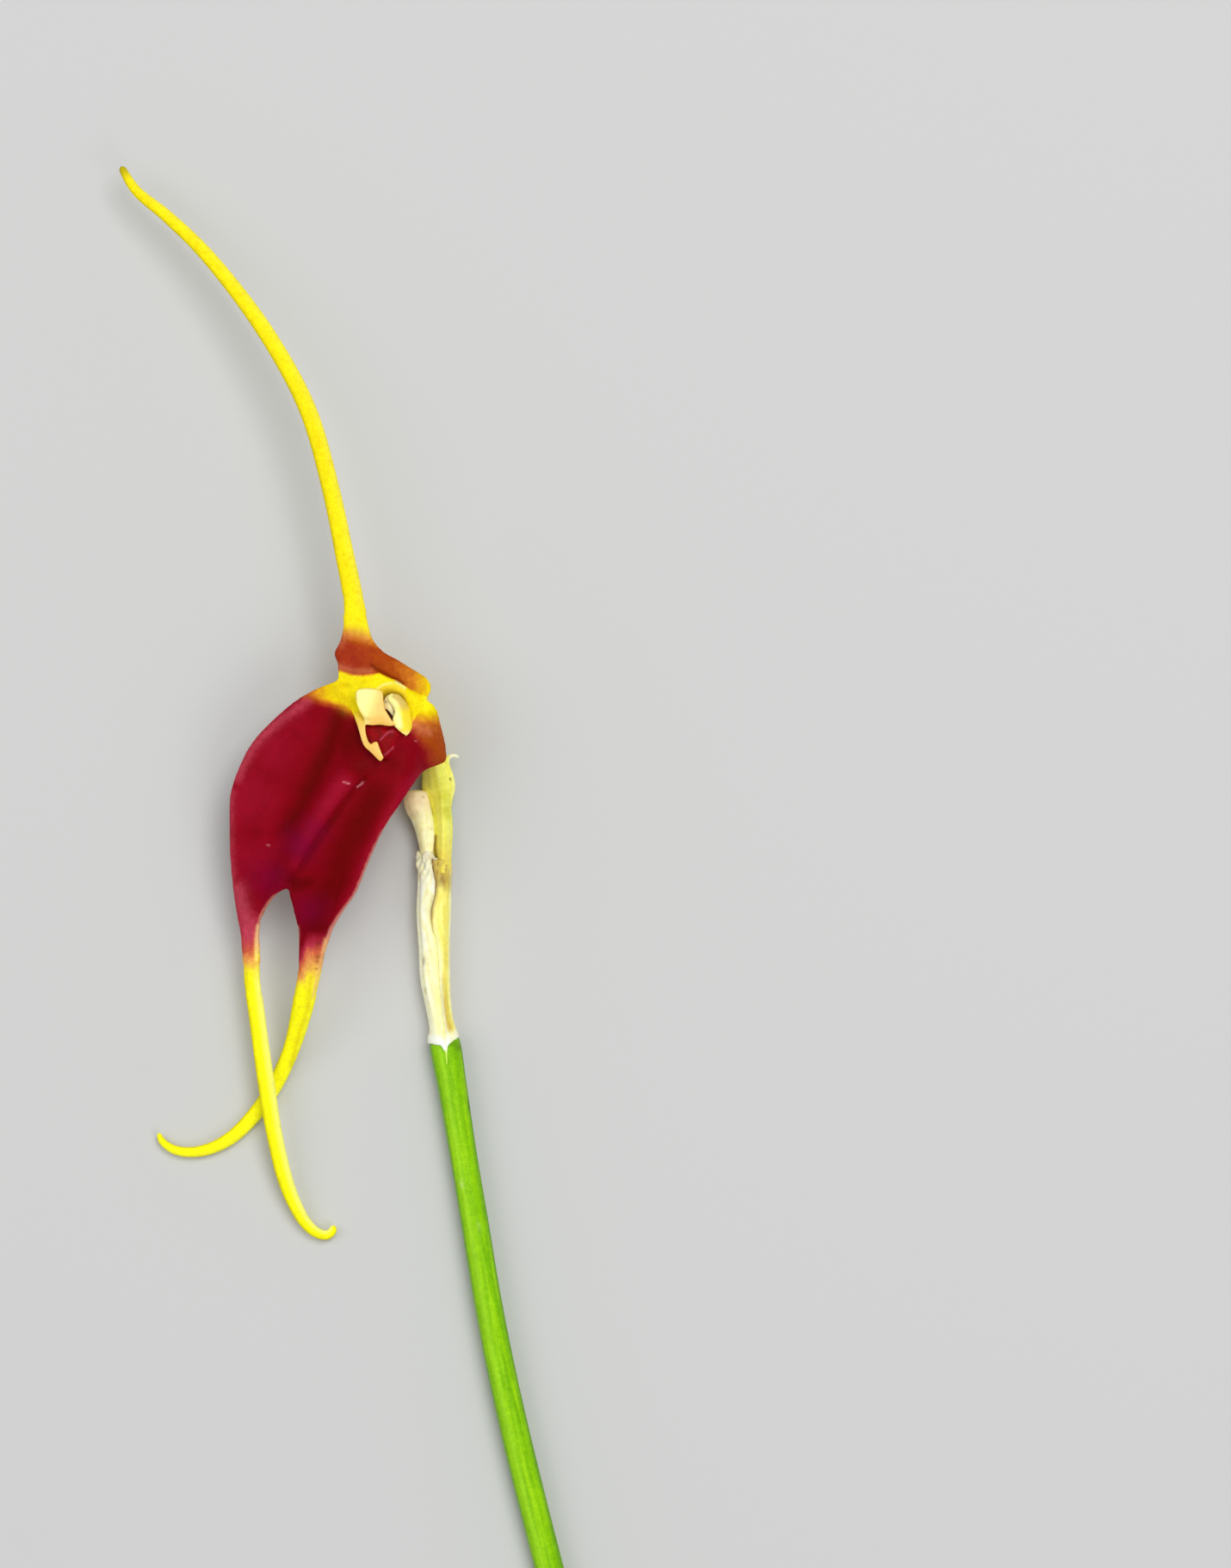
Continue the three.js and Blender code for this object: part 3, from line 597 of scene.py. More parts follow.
# Darker, paler and violet parts of the blade, and other marks on it: soft touches (x, y, radius,
# strength) and drawn lines (points, half-width, strength). The dark parts are painted shade in the
# furrows and under the strip and lip, the pale parts painted light on the ridges and margins.
bladeTone = {
    "dark touches": [(-2.5, -1.6, 1.5, 0.9), (-1.6, -3.4, 1.3, 0.7), (-3.6, -0.6, 1.2, 0.6),
                     (0.4, -3.4, 1.0, 0.5)],
    "dark lines": [
        ([(-3.4, -0.2), (-3.9, -1.8), (-4.7, -3.6), (-5.7, -5.6), (-6.9, -7.8)], 0.8, 1.0),
        ([(-1.5, -4.4), (-2.6, -5.6), (-3.9, -7.4), (-5.4, -9.5), (-6.6, -11.4)], 0.3, 0.9),
        ([(-0.9, -5.6), (-2.7, -9.2), (-4.4, -13.0), (-5.0, -14.6)], 1.3, 0.9),
        ([(-6.5, -9.7), (-6.8, -10.6), (-6.3, -11.6), (-5.4, -11.6)], 0.6, 0.8),
    ],
    "pale touches": [(-9.8, -5.6, 2.0, 0.7), (-8.0, -2.2, 1.7, 0.6), (-6.2, 0.1, 1.3, 0.5),
                     (-10.0, -10.0, 1.8, 0.5), (-9.6, -14.6, 1.2, 0.8)],
    "pale lines": [
        ([(-3.0, -4.6), (-4.6, -6.7), (-6.0, -8.9), (-6.6, -10.4)], 0.7, 0.9),
        ([(2.2, -4.3), (0.8, -6.0), (-0.8, -8.8), (-2.2, -12.0), (-3.4, -14.4)], 0.55, 0.8),
    ],
    "violet touches": [(-6.0, -9.0, 1.2, 0.9), (-5.0, -7.9, 1.0, 0.6), (-8.2, -11.4, 1.4, 0.7),
                       (-5.6, -13.6, 1.3, 0.6)],
    # painted highlights: small glints on the blade and one beside the right petal
    "glint lines": [
        ([(-3.0, -4.61), (-2.8, -4.66), (-2.6, -4.7)], 0.05, 0.9),
        ([(-2.05, -4.95), (-1.8, -4.78), (-1.65, -4.62)], 0.05, 0.8),
        ([(-8.36, -9.0), (-8.24, -9.03)], 0.05, 0.7),
        ([(1.98, -1.74), (2.1, -1.77)], 0.05, 0.5),
    ],
    # the first two cream lines are painted highlights, on the throat's rim and under the dorsal fold; the
    # third is a cream stripe on the left tail's root
    "cream lines": [
        ([(-0.67, 1.86), (-0.3, 2.12), (0.0, 2.22), (0.32, 2.27)], 0.07, 0.6),
        ([(0.6, 2.33), (0.95, 2.15), (1.25, 1.93)], 0.08, 0.9),
        ([(-9.1, -14.6), (-9.18, -15.4), (-9.2, -16.2), (-9.2, -17.0)], 0.1, 0.45),
    ],
    "tan lines": [
        ([(-4.3, -15.6), (-4.54, -16.6), (-4.76, -17.6), (-4.98, -18.6), (-5.18, -19.5)], 0.13, 0.9),
    ],
    # painted sheen: pink lightening along the left lobe's margins
    "marginSheen lines": [
        ([(-10.5, -4.3), (-9.4, -2.2), (-8.6, -1.3), (-7.0, 0.05), (-5.6, 1.0)], 0.35, 0.5),
        ([(-10.95, -5.4), (-11.02, -7.6), (-10.98, -10.0), (-10.75, -12.4)], 0.32, 0.35),
        ([(-10.5, -12.2), (-10.2, -13.4), (-9.8, -14.5), (-9.6, -15.3)], 0.6, 0.6),
    ],
    "blush lines": [
        ([(-3.3, 3.42), (-2.8, 3.25), (-2.3, 3.1), (-1.7, 3.08), (-1.1, 3.14)], 0.24, 0.6),
        ([(-3.3, 5.2), (-2.9, 5.7), (-2.0, 5.8), (-1.4, 5.5)], 0.4, 0.45),
        ([(1.75, -0.5), (2.3, -0.85), (2.9, -1.1)], 0.35, 0.6),
        ([(-5.5, -16.6), (-5.45, -17.2), (-5.42, -17.7)], 0.2, 0.4),
    ],
    # painted shade: olive lines along the tails and at the upper left of the mouth
    "olive lines": [
        ([(-5.34, -18.2), (-5.58, -20.2), (-6.06, -21.7), (-6.42, -22.9), (-6.78, -24.4)], 0.16, 0.6),
        ([(-9.9, -17.4), (-9.86, -18.2), (-9.8, -19.0)], 0.16, 0.4),
        ([(-3.42, 2.4), (-3.1, 2.2), (-2.7, 2.1)], 0.16, 0.7),
        ([(-3.7, 1.9), (-3.2, 1.2), (-2.7, 0.75)], 0.5, 0.75),
    ],
    "brown touches": [(-4.86, -15.9, 0.2, 0.8), (-4.88, -16.2, 0.18, 0.5), (-4.86, -16.8, 0.2, 0.8),
                      (-4.9, -17.1, 0.18, 0.6), (-4.98, -17.64, 0.09, 0.7)],
}


def sepalHeight(x, y):
    tilt = calyx["toRight"] * x + calyx["toTail"] * y + calyx["bothWays"] * (np.hypot(y, 1) - 1)
    lengthwise = np.where(y < 0, calyx["droopBlade"], calyx["droopDorsal"])
    return calyx["height"] + tilt - calyx["droopBlade"] * x * x - lengthwise * y * y


# The tube's own directions: up its axis, across the bloom and along it.
def tubeDirections():
    axis = unit(np.subtract(calyx["mouth"], calyx["tubeBase"]))
    across = unit(np.array([1.0, 0, 0]) - axis * axis[0])
    return axis, across, np.cross(axis, across)


tubeAxis, tubeAcross, tubeAlong = tubeDirections()


def inTube(up, across, along):
    return np.array(calyx["mouth"]) + up * tubeAxis + across * tubeAcross + along * tubeAlong


def inTubeSpine(spine):
    return [(*inTube(up, across, along), *half) for up, across, along, *half in spine]


# One line of the cup: up the tube's wall, in at the throat, over the rim and out to the margin.
# Beside its points it gives how far each lies past the rim.
def cupRay(foot, edge, bow):
    out = foot - np.array(calyx["mouth"])
    angle = np.arctan2(out @ tubeAlong, out @ tubeAcross)
    cosine, sine = np.cos(angle), np.sin(angle)
    wall = [inTube(-below, across * cosine, along * sine) for below, across, along in calyx["tube"]]
    throat = calyx["throat"]
    arch = np.add(throat["middle"], (throat["across"] * cosine, throat["along"] * sine, 0))
    inner = smoothLine([*wall, arch, foot], calyx["wallRows"])
    reach = edge[:2] - foot[:2]
    length = np.linalg.norm(reach)
    sideways = np.array([reach[1], -reach[0]]) / length
    t = np.linspace(0, 1, calyx["sepalRows"] + 1)[1:]
    flat = foot[:2] + reach * t[:, None] + sideways * (4 * t * (1 - t) * bow)[:, None]
    roll = calyx["rimDrop"] * np.exp(-length * t / calyx["rimRounding"])
    height = sepalHeight(flat[:, 0], flat[:, 1]) - roll + edge[2] * t**2
    past = np.r_[np.zeros(len(inner)), t * length]
    return np.c_[np.vstack([inner, np.c_[flat, height]]), past]


def cupRays():
    rimPoints = [(x, y, sepalHeight(x, y) - calyx["rimDrop"]) for x, y in calyx["rim"]]
    rim = smoothLine(rimPoints, 801, closed=True)
    share = np.linspace(0, 1, len(rim))
    rays, pale = [], []
    for stretch in sepalMargin.values():
        count = stretch["rays"]
        edge = smoothLine(stretch["points"], count + 1)
        firstBow, lastBow = stretch.get("bow", (0, 0))
        for number in range(count):
            t = number / count
            start = np.interp(t, (0, 1), stretch["rim"])
            foot = np.array([np.interp(start, share, column) for column in rim.T])
            rays.append(cupRay(foot, edge[number], firstBow + (lastBow - firstBow) * smoothStep(0, 1, t)))
            pale.append(np.interp(t, (0, 1), stretch["pale"]))
    return np.array(rays), np.array(pale)


def growTree(points):
    tree = kdtree.KDTree(len(points))
    for number, point in enumerate(points):
        tree.insert(point, number)
    tree.balance()
    return tree


# Each point of the finished cup takes what is known of the drawn points nearest to it.
def readNearest(points, knownPoints, knownValues, count=4):
    tree = growTree(knownPoints)
    found = np.empty((len(points), knownValues.shape[1]))
    for number, point in enumerate(points):
        near = tree.find_n(point, count)
        weight = np.array([1 / (away + 0.02) for _, _, away in near])
        found[number] = weight @ knownValues[[index for _, index, _ in near]] / weight.sum()
    return found.T


# How far each point is from a closed line, and the value of the line where it is nearest.
def readMargin(points, line, values, finer=6):
    t = np.arange(len(line) * finer) / finer
    ring = np.vstack([line, line[:1]])
    fine = np.column_stack([np.interp(t, np.arange(len(ring)), column) for column in ring.T])
    fineValues = np.interp(t, np.arange(len(ring)), np.r_[values, values[0]])
    tree = growTree(fine)
    nearest = [tree.find(point)[1:] for point in points]
    index = np.array([n for n, _ in nearest])
    away = np.array([a for _, a in nearest])
    return away, fineValues[index]


def selectPoints(piece, chosen):
    chooseOnly(piece)
    bpy.ops.object.mode_set(mode="EDIT")
    bpy.ops.mesh.select_mode(type="VERT")
    bpy.ops.mesh.select_all(action="DESELECT")
    bpy.ops.object.mode_set(mode="OBJECT")
    piece.data.vertices.foreach_set("select", np.ascontiguousarray(chosen, dtype=bool))
    bpy.ops.object.mode_set(mode="EDIT")


def smoothWhere(piece, chosen, repeat):
    selectPoints(piece, chosen)
    bpy.ops.mesh.vertices_smooth(factor=0.5, repeat=repeat)
    bpy.ops.object.mode_set(mode="OBJECT")


def makeCup():
    drawn, pale = cupRays()
    rays, past = drawn[..., :3], drawn[..., 3]
    count, rows = past.shape
    onSepal = smoothStep(*calyx["rimReach"], past)
    for line, width, height in sepalRelief.values():
        rays[..., 2] += height * stroke(rays.reshape(-1, 3), line, width).reshape(count, rows) * onSepal
    normal = unit(np.cross(np.roll(rays, -1, 0) - np.roll(rays, 1, 0), np.gradient(rays, axis=1)))
    turned = (past > 0.3) & (normal[..., 2] < 0)
    normal[turned] *= -1

    def rule(u, v):
        return rays[np.rint(u * count).astype(int) % count, np.rint(v * (rows - 1)).astype(int)]

    parts = [layGrid("sepal_cup", count, rows - 1, rule, wraps=True)]
    thicken(parts[0], calyx["wall"])
    # what is known of a point: front or back, how far past the rim, to a tail's right, and the painted light
    # on a tail's right side
    knownPoints, knownValues = [], []
    for side in (1, -1):
        face = rays + normal * side * calyx["wall"] / 2
        knownPoints.append(face.reshape(-1, 3))
        knownValues.append(np.stack([past * 0 + side, past, past * 0, past * 0], -1).reshape(-1, 4))
    for name, spine in tails.items():
        tail = growAlong("tail" + name, spine, len(spine) * 16, sides=20, tip=calyx["tailRounding"])
        knownPoints.append(readDrawn(tail))
        across = readVectors(tail, "fibre")[:, :1]
        toRight = -across if name == "dorsal" else across
        sideLight = np.maximum(toRight, 0) * tailSideLight[name]
        knownValues.append(np.hstack([across * 0 + 1, across * 0 + 9, toRight, sideLight]))
        parts.append(tail)
    cup = joinPieces(*parts)
    cup.data.attributes.remove(cup.data.attributes["fibre"])
    finishWith(cup, "REMESH", mode="VOXEL", voxel_size=calyx["voxel"] * mm, adaptivity=0)
    finishWith(cup, "SMOOTH", factor=0.5, iterations=calyx["skinSmoothing"])
    points = readDrawn(cup)
    y = points[:, 1]
    (lowest, low), (high, highest) = calyx["tailRoots"]
    smoothWhere(cup, ((y < low) & (y > lowest)) | ((y > high) & (y < highest)), calyx["rootSmoothing"])
    away, _ = readMargin(points, rays[:, -1], pale)
    foot, top = calyx["margin"]
    atMargin = (away < calyx["marginWidth"]) & (y > foot) & (y < top)
    smoothWhere(cup, atMargin, calyx["marginSmoothing"])
    selectPoints(cup, (y < lowest) | (y > highest))
    bpy.ops.mesh.decimate(ratio=calyx["tailDetail"])
    bpy.ops.object.mode_set(mode="OBJECT")
    setDown(cup)
    points = readDrawn(cup)
    known = readNearest(points, np.vstack(knownPoints), np.vstack(knownValues))
    colourCup(cup, points, known, readMargin(points, rays[:, -1], pale))
    return cup


# Where the dorsal sepal meets the yellow of the mouth: a soft border on its left, a crisp fold on
# its right. 0 is crimson, then come red-brown, orange and golden, to 1 for yellow.
dorsalBorder = [(-3.3, 3.23), (-2.8, 3.05), (-2.3, 2.9), (-1.7, 2.89), (-1.1, 2.95), (-0.55, 3.02),
                (0.0, 2.75), (0.63, 2.48), (1.15, 2.17), (1.5, 1.96), (1.9, 1.82), (2.5, 1.6)]


# How the yellow and the tails' colours run: places along x or y, then the values there.
courses = {
    "dorsal softness": ((-0.9, -0.4, 1.2, 2.0), (0.26, 0.05, 0.06, 0.35)),
    "dorsal across": ((-2.4, -0.6, 0.4, 1.2, 1.8, 2.3, 2.9), (0.22, 0.34, 0.4, 0.5, 0.6, 0.72, 0.88)),
    "left wedge": ((-6.6, -4.5, -3.0, -2.3, -1.7), (1.3, 0.85, 0.6, 0.0, -1.2)),
    "left strength": ((-7.4, -6.2, -4.9, -3.6), (0.0, 0.32, 0.66, 0.95)),
    "right start": ((-4.0, -2.4, -1.7, -1.0, -0.4), (2.4, 2.1, 1.6, 1.35, 1.2)),
    "right reach": ((-2.4, -1.0, -0.4, 0.2), (1.6, 1.1, 0.5, 0.4)),
    "right strength": ((-4.2, -3.0, -1.7, -1.0, -0.7, -0.4, -0.1, 0.15, 0.45),
                       (0.12, 0.38, 0.38, 0.42, 0.47, 0.6, 0.72, 0.86, 1.0)),
    "left tail": ((13.3, 14.7, 15.9, 16.5, 17.1, 17.6, 18.0, 19.0),
                  (0, 0.1, 0.28, 0.42, 0.6, 0.76, 0.9, 1)),
    "right tail": ((14.9, 15.7, 16.2, 16.8, 17.4, 18.2, 19.6), (0, 0.12, 0.34, 0.5, 0.64, 0.8, 1)),
    "throat top": ((-0.7, -0.3, 0.0, 0.4, 0.7, 1.0, 1.3, 1.5),
                   (1.85, 2.1, 2.2, 2.27, 2.2, 2.0, 1.7, 1.2)),
}


def course(name, at):
    return np.interp(at, *courses[name])


def dorsalGold(x, y):
    border = np.interp(x, *zip(*dorsalBorder))
    soft = course("dorsal softness", x)
    yellow = smoothStep(soft, -soft, y - border)
    toTail = smoothStep(4.0, 6.5, y + 0.3 * (x + 2))
    rightEdge = stroke(np.c_[x, y], [(-1.35, 6.4), (-1.12, 5.6), (-0.72, 4.95), (-0.25, 4.5)], 0.34)
    rightEdge = 0.85 * rightEdge * smoothStep(3.9, 6.0, y)
    return np.maximum.reduce([course("dorsal across", x), toTail, rightEdge, yellow])


# Yellow of the mouth on the lateral sepals: a wedge along the top margin on the left, and on the
# right a top corner that runs down the outer edge and in along the right petal.
def lateralGold(x, y):
    low = course("left wedge", x)
    left = smoothStep(low - 0.4, low + 0.5, y) * course("left strength", x) * (x < 0)
    right = smoothStep(0, course("right reach", y), x - course("right start", y))
    right = right * course("right strength", y) * (x > 0)
    besidePetal = smoothStep(-0.06, 0.08, -0.846 * (x - 1.32) + 0.533 * (y + 1.29)) * (x > 0.6)
    return np.maximum.reduce([left, right, besidePetal * smoothStep(-1.2, -1.0, y)])


# How far each lateral sepal has turned from crimson to the yellow of its tail.
def tailTurn(x, y):
    stripe = smoothStep(-9.55, -9.2, x) * smoothStep(13.6, 15.6, -y) * (1 - smoothStep(16.6, 17.4, -y))
    left = course("left tail", -y) + 0.3 * stripe
    keep = 1.1 * smoothStep(-5.5, -6.1, x)
    right = np.maximum(course("right tail", -y - keep), smoothStep(17.0, 19.4, -y))
    return np.clip(np.where(x < -7.6, left, right), 0, 1) * (y < -13)


def drawLines(points, lines):
    amount = np.zeros(len(points))
    for line, width, strength in lines:
        amount = np.maximum(amount, strength * stroke(points, line, width))
    return amount


def colourCup(cup, points, known, margin):
    x, y = points[:, 0], points[:, 1]
    side, past, toRight, sideLight = known
    away, pale = margin
    # a tail's own tints fade in over its root
    onTail = smoothStep(16.8, 19.0, -y) + smoothStep(6.6, 8.6, y)
    front = smoothStep(-0.5, 0.5, side)
    wall = 1 - smoothStep(0.02, 0.12, past)
    dorsal = y > 2.46 - 0.2077 * (x + 3.42)
    gold = np.where(dorsal, dorsalGold(x, y), lateralGold(x, y))
    nearMouth = (1 - smoothStep(0.0, 0.4, past)) * smoothStep(-1.2, 0.4, y + 0.25 * x) * ~dorsal
    gold = np.maximum(np.maximum(gold, nearMouth), wall)
    # outside, the tube is yellow, and tan keels run down the lateral sepals with maroon between
    leftKeel, rightKeel = (sepalRelief[name + " furrow"][0] for name in ("left", "right"))
    keels = drawLines(points, [(leftKeel, 1.9, 1), (rightKeel, 1.5, 1)])
    outside = np.maximum.reduce([wall, 1 - smoothStep(0.0, 3.0, past), 0.5 * keels])
    outside = np.maximum(outside, dorsal * np.maximum(0.5, smoothStep(4.0, 6.0, y)))
    # painted shading: darker in the furrows and under the strip and lip, lighter on the ridges and margins
    paintedShading = 0.5
    for name, sign in (("dark", -0.5), ("pale", 0.5)):
        dabbed = touches(points, bladeTone[name + " touches"])
        paintedShading = paintedShading + sign * np.maximum(dabbed, drawLines(points, bladeTone[name + " lines"]))
    fold = [(-1.05, 3.55), (-0.7, 3.25), (-0.25, 3.0), *((px, py + 0.1) for px, py in dorsalBorder[6:9])]
    above = y - course("throat top", x)
    deep = smoothStep(0.08, -0.08, above) * smoothStep(-1.1, -0.7, x) * smoothStep(1.55, 1.2, x)
    deep = deep * (past < 0.1) * (points[:, 2] > 4)
    wide = 0.1 + 0.1 * smoothStep(-12, -15.5, y) * (x > -6.2)
    addMask(cup, "gold", gold * front + outside * (1 - front))
    addMask(cup, "tail", tailTurn(x, y))
    # a pale rim along the margins: partly the margin's own colour, partly painted highlight
    edge = pale * (1 - smoothStep(0.1, 0.12 + wide, away))
    addMask(cup, "paleEdge", edge * (1 - smoothStep(15.8, 17.2, -y)))
    addMask(cup, "paintedShading", paintedShading)
    addMask(cup, "violet", touches(points, bladeTone["violet touches"]) * front)
    addMask(cup, "outside", 1 - front)
    addMask(cup, "deep", deep * front)
    # the cream lines are partly painted highlights, the glints painted highlights and the pink margin lines
    # painted sheen; tan and blush are the sepals' own colours
    for name in ("tan", "glint", "cream", "blush", "marginSheen"):
        addMask(cup, name, drawLines(points, bladeTone[name + " lines"]) * front)
    # painted shade: olive on the tails' left sides and at the mouth's upper left
    oliveShade = drawLines(points, bladeTone["olive lines"]) * front
    addMask(cup, "oliveShade", np.maximum(oliveShade, 0.65 * smoothStep(0.6, 1.0, -toRight) * onTail))
    # the line along the dorsal fold is painted shade in its crease; the touches are brown spots
    brown = np.maximum(touches(points, bladeTone["brown touches"]), stroke(points, fold, 0.13))
    addMask(cup, "brown", brown * front)
    # painted light on the tails' right sides
    addMask(cup, "tailLitSide", smoothStep(0.0, 0.8, sideLight) * onTail)
    addMask(cup, "tip", 1 - smoothStep(0.2, 1.2, np.hypot(x + 18.7, y - 38.4)))


def calyxSkin():
    skin = newSkin("velvety crimson and yellow sepal", Specular_IOR_Level=0.04)
    tree = skin.node_tree
    place = objectPlace(tree)
    fine = noise(tree, place, 2600.0, 5.0)
    broad = noise(tree, place, 420.0)
    streaks = noise(tree, objectPlace(tree, (1, 0.18, 1)), 4200.0, 3.0)
    gold = frayed(tree, frayed(tree, mask(tree, "gold"), fine, 0.2), broad, 0.12)
    fromMouth = ramp(tree, gold, [
        (0.0, (140, 0, 20)), (0.2, (160, 46, 24)), (0.4, (168, 70, 10)), (0.6, (206, 120, 30)),
        (0.76, (226, 172, 18)), (0.88, (240, 208, 6)), (1.0, (248, 231, 18)),
    ])
    # the crimson darkens with painted shade in the furrows and lightens with painted light on the ridges
    crimson = ramp(tree, frayed(tree, mask(tree, "paintedShading"), broad, 0.35), [
        (0.0, (100, 0, 0)), (0.5, (132, 0, 18)), (1.0, (154, 12, 40)),
    ])
    crimson = layOver(tree, crimson, [("violet", (116, 0, 48), 0.8, broad, 0.5)])
    colour = blend(tree, times(tree, gold, 6.0), crimson, fromMouth)
    colour = layOver(tree, colour, [("deep", (246, 204, 62), 0.5, fine, 0.2)])
    turned = frayed(tree, frayed(tree, mask(tree, "tail"), streaks, 0.22), fine, 0.14)
    tailColour = ramp(tree, turned, [
        (0.0, (142, 0, 26)), (0.2, (178, 46, 68)), (0.42, (206, 96, 64)), (0.62, (236, 166, 80)),
        (0.8, (250, 226, 50)), (1.0, (255, 250, 20)),
    ])
    colour = blend(tree, times(tree, mask(tree, "tail"), 10.0), colour, tailColour)
    rim = blend(tree, mask(tree, "gold"), paint(226, 140, 130), paint(236, 196, 120))
    rim = blend(tree, times(tree, mask(tree, "tail"), 3.0), rim, paint(244, 196, 130))
    rimmed = times(tree, frayed(tree, mask(tree, "paleEdge"), fine, 0.3), 0.8)
    colour = blend(tree, rimmed, colour, rim)
    # among these layers the pink margin sheen, the tails' pale right sides, the olive, the cream lines, the
    # glints and the fold's crease in the brown are painted light and shade
    colour = layOver(tree, colour, [
        ("marginSheen", (206, 80, 100), 0.8, fine, 0.4), ("blush", (214, 124, 84), 0.8, fine, 0.4),
        ("tan", (236, 180, 112), 0.8, fine, 0.2), ("tailLitSide", (255, 255, 130), 0.75, streaks, 0.1),
        ("oliveShade", (206, 176, 4), 0.75, broad, 0.3), ("brown", (122, 36, 2), 0.85, fine, 0.2),
        ("cream", (255, 250, 176), 0.8, fine, 0.1), ("glint", (236, 150, 160), 0.7, fine, 0.4),
        ("tip", (150, 130, 12), 0.7, fine, 0.2),
    ])
    colour = blend(tree, times(tree, mask(tree, "outside"), 0.3), colour, paint(190, 150, 110), "MULTIPLY")
    return coverSkin(skin, colour, [(5200.0, 0.08), (1300.0, 0.08)], cells=(14000.0, 0.5),
                     swells=(1500.0, 0.8), depth=0.000012, roughness=(0.55, 0.2))


mount(makeCup(), "calyx", calyxSkin())

# The green stem, with the thin peg that runs on inside the sheath.
stem = {
    "spine": [
        (18.06, -84.42, 1.0, 1.03, 1.0), (14.55, -71.9, 1.05, 1.02, 1.02), (11.16, -59.28, 1.2, 1.0, 1.0),
        (8.49, -48.48, 1.3, 1.0, 1.0), (7.02, -41.28, 1.35, 0.97, 0.97), (6.06, -35.52, 1.35, 0.96, 0.96),
        (5.25, -30.72, 1.32, 0.95, 0.95), (4.47, -25.92, 1.25, 1.02, 1.0), (3.96, -22.95, 1.2, 1.08, 1.05),
        (3.88, -22.5, 1.18, 0.98, 0.96), (3.82, -22.1, 1.17, 0.84, 0.84),
    ],
    "peg": [
        (4.05, -23.4, 1.2, 0.3, 0.3), (3.7, -22.2, 1.2, 0.3, 0.3), (3.3, -20.0, 1.2, 0.3, 0.3),
        (3.14, -16.0, 1.2, 0.3, 0.3), (3.2, -12.4, 1.15, 0.3, 0.3),
    ],
    "sides": 64,
    "rings": 150,
    "ribs": 11,
    "ribDepth": 0.01,
    "specks": [(5.1, -32.6, 0.14, 1.0), (6.36, -35.8, 0.13, 1.0)],
    "scar": ([(5.64, -26.9), (5.66, -27.6)], 0.09),
}


def makeStem():
    piece = growAlong("flower_stem", stem["spine"], stem["rings"], stem["sides"],
                      ribs=stem["ribs"], ribDepth=stem["ribDepth"])
    joinPieces(piece, growAlong("stemPeg", stem["peg"], 24, 16, tip=0.3))
    setDown(piece)
    points = readDrawn(piece)
    x, y = points[:, 0], points[:, 1]
    across, top, _ = readVectors(piece, "fibre").T
    # painted shade: darker green towards both sides, more on one side
    addMask(piece, "edge", smoothStep(0.78, 1.0, np.abs(across)) * (0.6 + 0.4 * (across < 0)))
    # painted highlight: a lighter band along the stem's upper side
    addMask(piece, "litBand", np.exp(-(((across - 0.42) / 0.3) ** 2)) * (top > 0))
    addMask(piece, "speck", touches(points, stem["specks"]) * (top > 0))
    # painted shadow: a dark band just below the sheath's collar, added to the stem's scar
    collarShadow = 0.8 * (1 - smoothStep(0.1, 0.35, np.abs(y + 22.85 + 0.2 * (x - 3.9))))
    addMask(piece, "scar", np.minimum(stroke(points, *stem["scar"]) + collarShadow, 1))
    return piece


def stemSkin():
    skin = newSkin("green flower stem", Specular_IOR_Level=0.12)
    tree = skin.node_tree
    streaks = noise(tree, fibrePlace(tree, 0.06), 3.2, 4.0)
    flecks = noise(tree, objectPlace(tree), 2200.0, 4.0)
    colour = ramp(tree, frayed(tree, streaks, flecks, 0.3), [
        (0.28, (106, 170, 0)), (0.5, (132, 194, 0)), (0.72, (158, 214, 6)),
    ])
    # painted light and shade: the lit band, the darker edges and the collar's shadow in the scar layer
    colour = layOver(tree, colour, [
        ("litBand", (164, 222, 40), 0.6, flecks, 0.4), ("edge", (84, 136, 4), 0.7),
        ("scar", (60, 84, 10), 0.6), ("speck", (236, 240, 170), 1.0),
    ])
    return coverSkin(skin, colour, [(5000.0, 0.12), (900.0, 0.06)], cells=(7000.0, 0.4),
                     swells=(900.0, 0.8), depth=0.00002, roughness=(0.36, 0.25))


mount(makeStem(), "peduncle", stemSkin())

